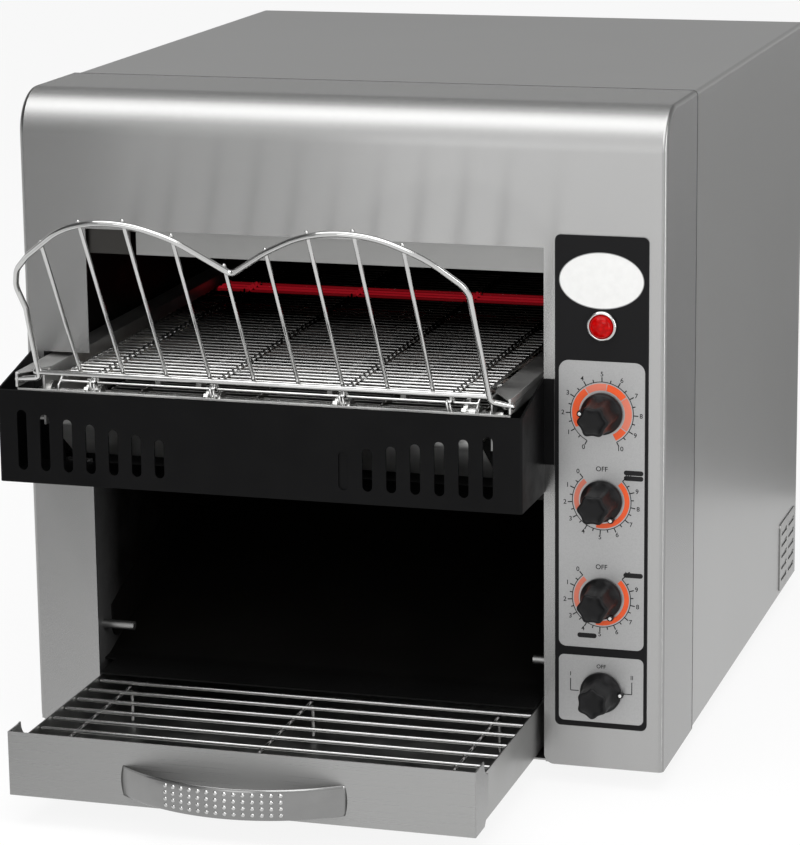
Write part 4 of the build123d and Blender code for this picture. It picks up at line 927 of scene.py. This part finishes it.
def knob(name, pointer, body, dot_on_point=True):
    """Skirted knob; pointer is the clock angle of its dot."""
    z, back, count = KNOB_Z[name], PANEL_T + KNOB_GAP, 144
    levels, start = knob_levels(), math.radians(90 - pointer)
    offset = 0 if dot_on_point else math.pi / 6
    verts = []
    for high, share, round_r, scale in levels:
        for k in range(count):
            a = 2 * math.pi * k / count
            r = round_r * (1 - share) + star_radius(a + offset) * scale * share
            verts.append((KNOB_X + r * math.cos(a + start), -back - high, z + r * math.sin(a + start)))
    faces = ring_walls(len(levels), count) + ring_caps(len(levels), count)
    grip, dot, nub_r = Build(), Build(), 11.4
    grip.add(verts, [face[::-1] for face in faces])
    nub_x, nub_z = clock(KNOB_X, z, nub_r, pointer)
    nub = (nub_x, -back, nub_z)
    grip.lathe([(1.7, 0.5), (1.75, 2.9), (1.6, 3.5), (1.2, 3.75), (0.02, 3.8)], nub, turn=24)
    finish(grip.make(f"{name}_knob_grip"), knob_plastic, body, "knob_black", f"{name}_knob")
    dot.lathe([(0.95, 3.4), (0.95, 3.85), (0.75, 4.05), (0.02, 4.1)], nub, turn=24)
    finish(dot.make(f"{name}_pointer"), ink_white, body, "knob_black")


def pilot_lamp():
    """Chromed ring with a domed lens in it; the profiles are (radius, height) points."""
    centre, ring, lens = (KNOB_X, -PANEL_T, LAMP_Z), Build(), Build()
    ring.lathe([(6.2, 0.2), (8.25, 0.2), (8.35, 0.6), (8.25, 1.5), (7.9, 2.2), (7.3, 2.6), (6.8, 2.6),
                (6.4, 2.2), (6.3, 1.4), (6.3, 0.9)], centre)
    finish(ring.make("lamp_ring"), chrome_wire, "casing", "lamp_chrome", "lamp_bezel")
    lens.lathe([(6.1, 0.6), (6.1, 2.2), (5.9, 3.1), (5.3, 4.1), (4.4, 4.9), (3.2, 5.5), (1.8, 5.85),
                (0.02, 6.0)], centre)
    finish(lens.make("lamp_glass"), lens_red, "casing", "lamp_red", "lamp_lens")


# ---------------------------------------------------------------- light, floor, camera
def area_light(name, place, size, aim, strength):
    """Rectangular light in metres of the frame, turned to its aim."""
    light = bpy.data.lights.new(name, "AREA")
    light.shape, light.energy = "RECTANGLE", strength
    light.size, light.size_y = size
    lamp = placed(name, light)
    lamp.location = Vector(place)
    lamp.rotation_euler = (Vector(aim) - Vector(place)).to_track_quat("-Z", "Y").to_euler()


def sky():
    """Soft studio room by direction only: brighter in front than behind."""
    world = bpy.data.worlds.new("studio")
    bpy.context.scene.world = world
    world.use_nodes = True
    tree = world.node_tree
    place, split, front, mix = (tree.nodes.new("ShaderNode" + k) for k in
                                ("TexCoord", "SeparateXYZ", "MapRange", "Mix"))
    tree.links.new(place.outputs["Generated"], split.inputs["Vector"])
    for socket, number in (("From Min", 0.1), ("From Max", -0.4), ("To Min", 0.0), ("To Max", 1.0)):
        front.inputs[socket].default_value = number
    tree.links.new(split.outputs["Y"], front.inputs["Value"])
    behind = ((0.0, 0.7), (0.25, 0.56), (0.42, 0.3), (0.8, 0.25), (1.0, 0.4))
    ahead = ((0.0, 0.8), (0.2, 0.9), (0.4, 1.0), (0.65, 1.1), (1.0, 0.5))
    mix.data_type = "RGBA"
    color_a, color_b, mixed = mix.inputs[6], mix.inputs[7], mix.outputs[2]    # its colour sockets
    for socket, stops in ((color_a, behind), (color_b, ahead)):
        shade = tree.nodes.new("ShaderNodeValToRGB")
        ramp = shade.color_ramp
        ramp.elements[0].position, ramp.elements[1].position = stops[0][0], stops[-1][0]
        for height, level in stops[1:-1]:
            ramp.elements.new(height)
        for element, (height, level) in zip(ramp.elements, stops):
            element.color = (level, level, level, 1)
        tree.links.new(split.outputs["Z"], shade.inputs["Fac"])
        tree.links.new(shade.outputs["Color"], socket)
    tree.links.new(front.outputs["Result"], mix.inputs["Factor"])
    tree.links.new(mixed, tree.nodes["Background"].inputs["Color"])


def floor():
    """Plain white ground; to the eye and in metal it is near white, and it keeps the shadow."""
    paint = Paint("floor", (0.9, 0.9, 0.9), roughness=0.9, Specular_IOR_Level=0.1)
    paint.tint(paint.noise(2, detail=3), (0.895, 0.895, 0.895), (0.905, 0.905, 0.905))
    path, glow, blend = paint.node("LightPath"), paint.node("Emission"), paint.node("MixShader")
    seen = paint.maths("MAXIMUM", path.outputs["Is Camera Ray"], path.outputs["Is Glossy Ray"])
    seen = paint.maths("MAXIMUM", seen, path.outputs["Is Transmission Ray"])
    paint.link(paint.maths("MULTIPLY", seen, 0.87), blend.inputs["Fac"])
    paint.link(paint.shader.outputs["BSDF"], blend.inputs[1])
    paint.link(glow.outputs["Emission"], blend.inputs[2])
    paint.link(blend.outputs["Shader"], paint.tree.nodes["Material Output"].inputs["Surface"])
    half = 12.0
    stage_card("floor", (-half, -half, 0), (2 * half, 0, 0), (0, 2 * half, 0), paint.material)


def stage_card(name, corner, along, up, material):
    """Flat card of the stage from one corner, in metres of the frame."""
    corner, along, up = Vector(corner), Vector(along), Vector(up)
    mesh = bpy.data.meshes.new(name)
    mesh.from_pydata([corner, corner + along, corner + along + up, corner + up], [], [(0, 1, 2, 3)])
    mesh.materials.append(material)
    card = placed(name, mesh)
    return card


def flag(name, corner, along, up, tone):
    """Grey card that only metal sees, to shade one side of its reflections."""
    paint = Paint(name, (tone, tone, tone), roughness=0.9, Specular_IOR_Level=0.0)
    paint.tint(paint.noise(3, detail=2), (tone * 0.98,) * 3, (tone * 1.02,) * 3)
    card = stage_card(name, corner, along, up, paint.material)
    card.visible_camera = card.visible_diffuse = card.visible_shadow = False


def camera():
    """The photograph's viewpoint: about 1.8 m away, to the right, looking down a little."""
    place = at(731.4, -1698.2, 610.2)
    yaw, pitch, roll = (math.radians(v) for v in (16.767, 13.348, -0.657))
    ahead = Vector((-math.sin(yaw) * math.cos(pitch), math.cos(yaw) * math.cos(pitch), -math.sin(pitch)))
    right = Vector((math.cos(yaw), math.sin(yaw), 0))
    up = right.cross(ahead)
    level_right = right * math.cos(roll) + up * math.sin(roll)
    level_up = up * math.cos(roll) - right * math.sin(roll)
    data = bpy.data.cameras.new("photo_camera")
    data.sensor_width, focal_px, tall_px = 36, 3325.6, 845
    data.lens = focal_px / tall_px * data.sensor_width
    cam = placed("photo_camera", data)
    axes = Matrix((level_right, level_up, -ahead)).transposed().to_4x4()
    cam.matrix_world = Matrix.Translation(place) @ axes
    bpy.context.scene.camera = cam


dress_cad()
conveyor_belt()
wire_guard()
toast_rack()
tray_handle()
casing_seam()
control_panel()
dial_printing()
knob("speed", 270, "speed_dial")
knob("top_heat", 150, "top_heat_dial")
knob("bottom_heat", 150, "bottom_heat_dial")
knob("power", 90, "power_dial", dot_on_point=False)
pilot_lamp()
sky()
floor()
# name, place, size, aim, watts
area_light("overhead", (0.0, -0.6, 1.7), (1.9, 1.1), (0.0, -0.6, 0.0), 21)
area_light("key", (0.8, -2.2, 1.6), (1.2, 1.0), (0.0, -0.1, 0.15), 11)
area_light("front", (-0.38, -2.7, 0.5), (0.8, 0.9), (-0.1, 0.0, 0.3), 3)
area_light("edge", (1.7, -0.6, 0.6), (0.25, 1.2), (0.18, -0.1, 0.2), 6)
# name, corner, first side, second side, tone
flag("flag_left", (-2.55, -1.2, 0.0), (2.0, 0, 0), (0, 0, 1.1), 0.42)
flag("flag_behind", (0.15, 0.52, 0.0), (2.0, 0, 0), (0, 0, 0.36), 0.36)
flag("flag_low", (-0.55, -0.9, 0.001), (0.32, 0, 0), (0, 0.5, 0), 0.45)
flag("flag_side", (-0.67, -0.9, 0.4), (0, 0.9, 0), (0, 0, 0.7), 0.08)
camera()
bpy.context.scene.view_settings.view_transform = "Standard"
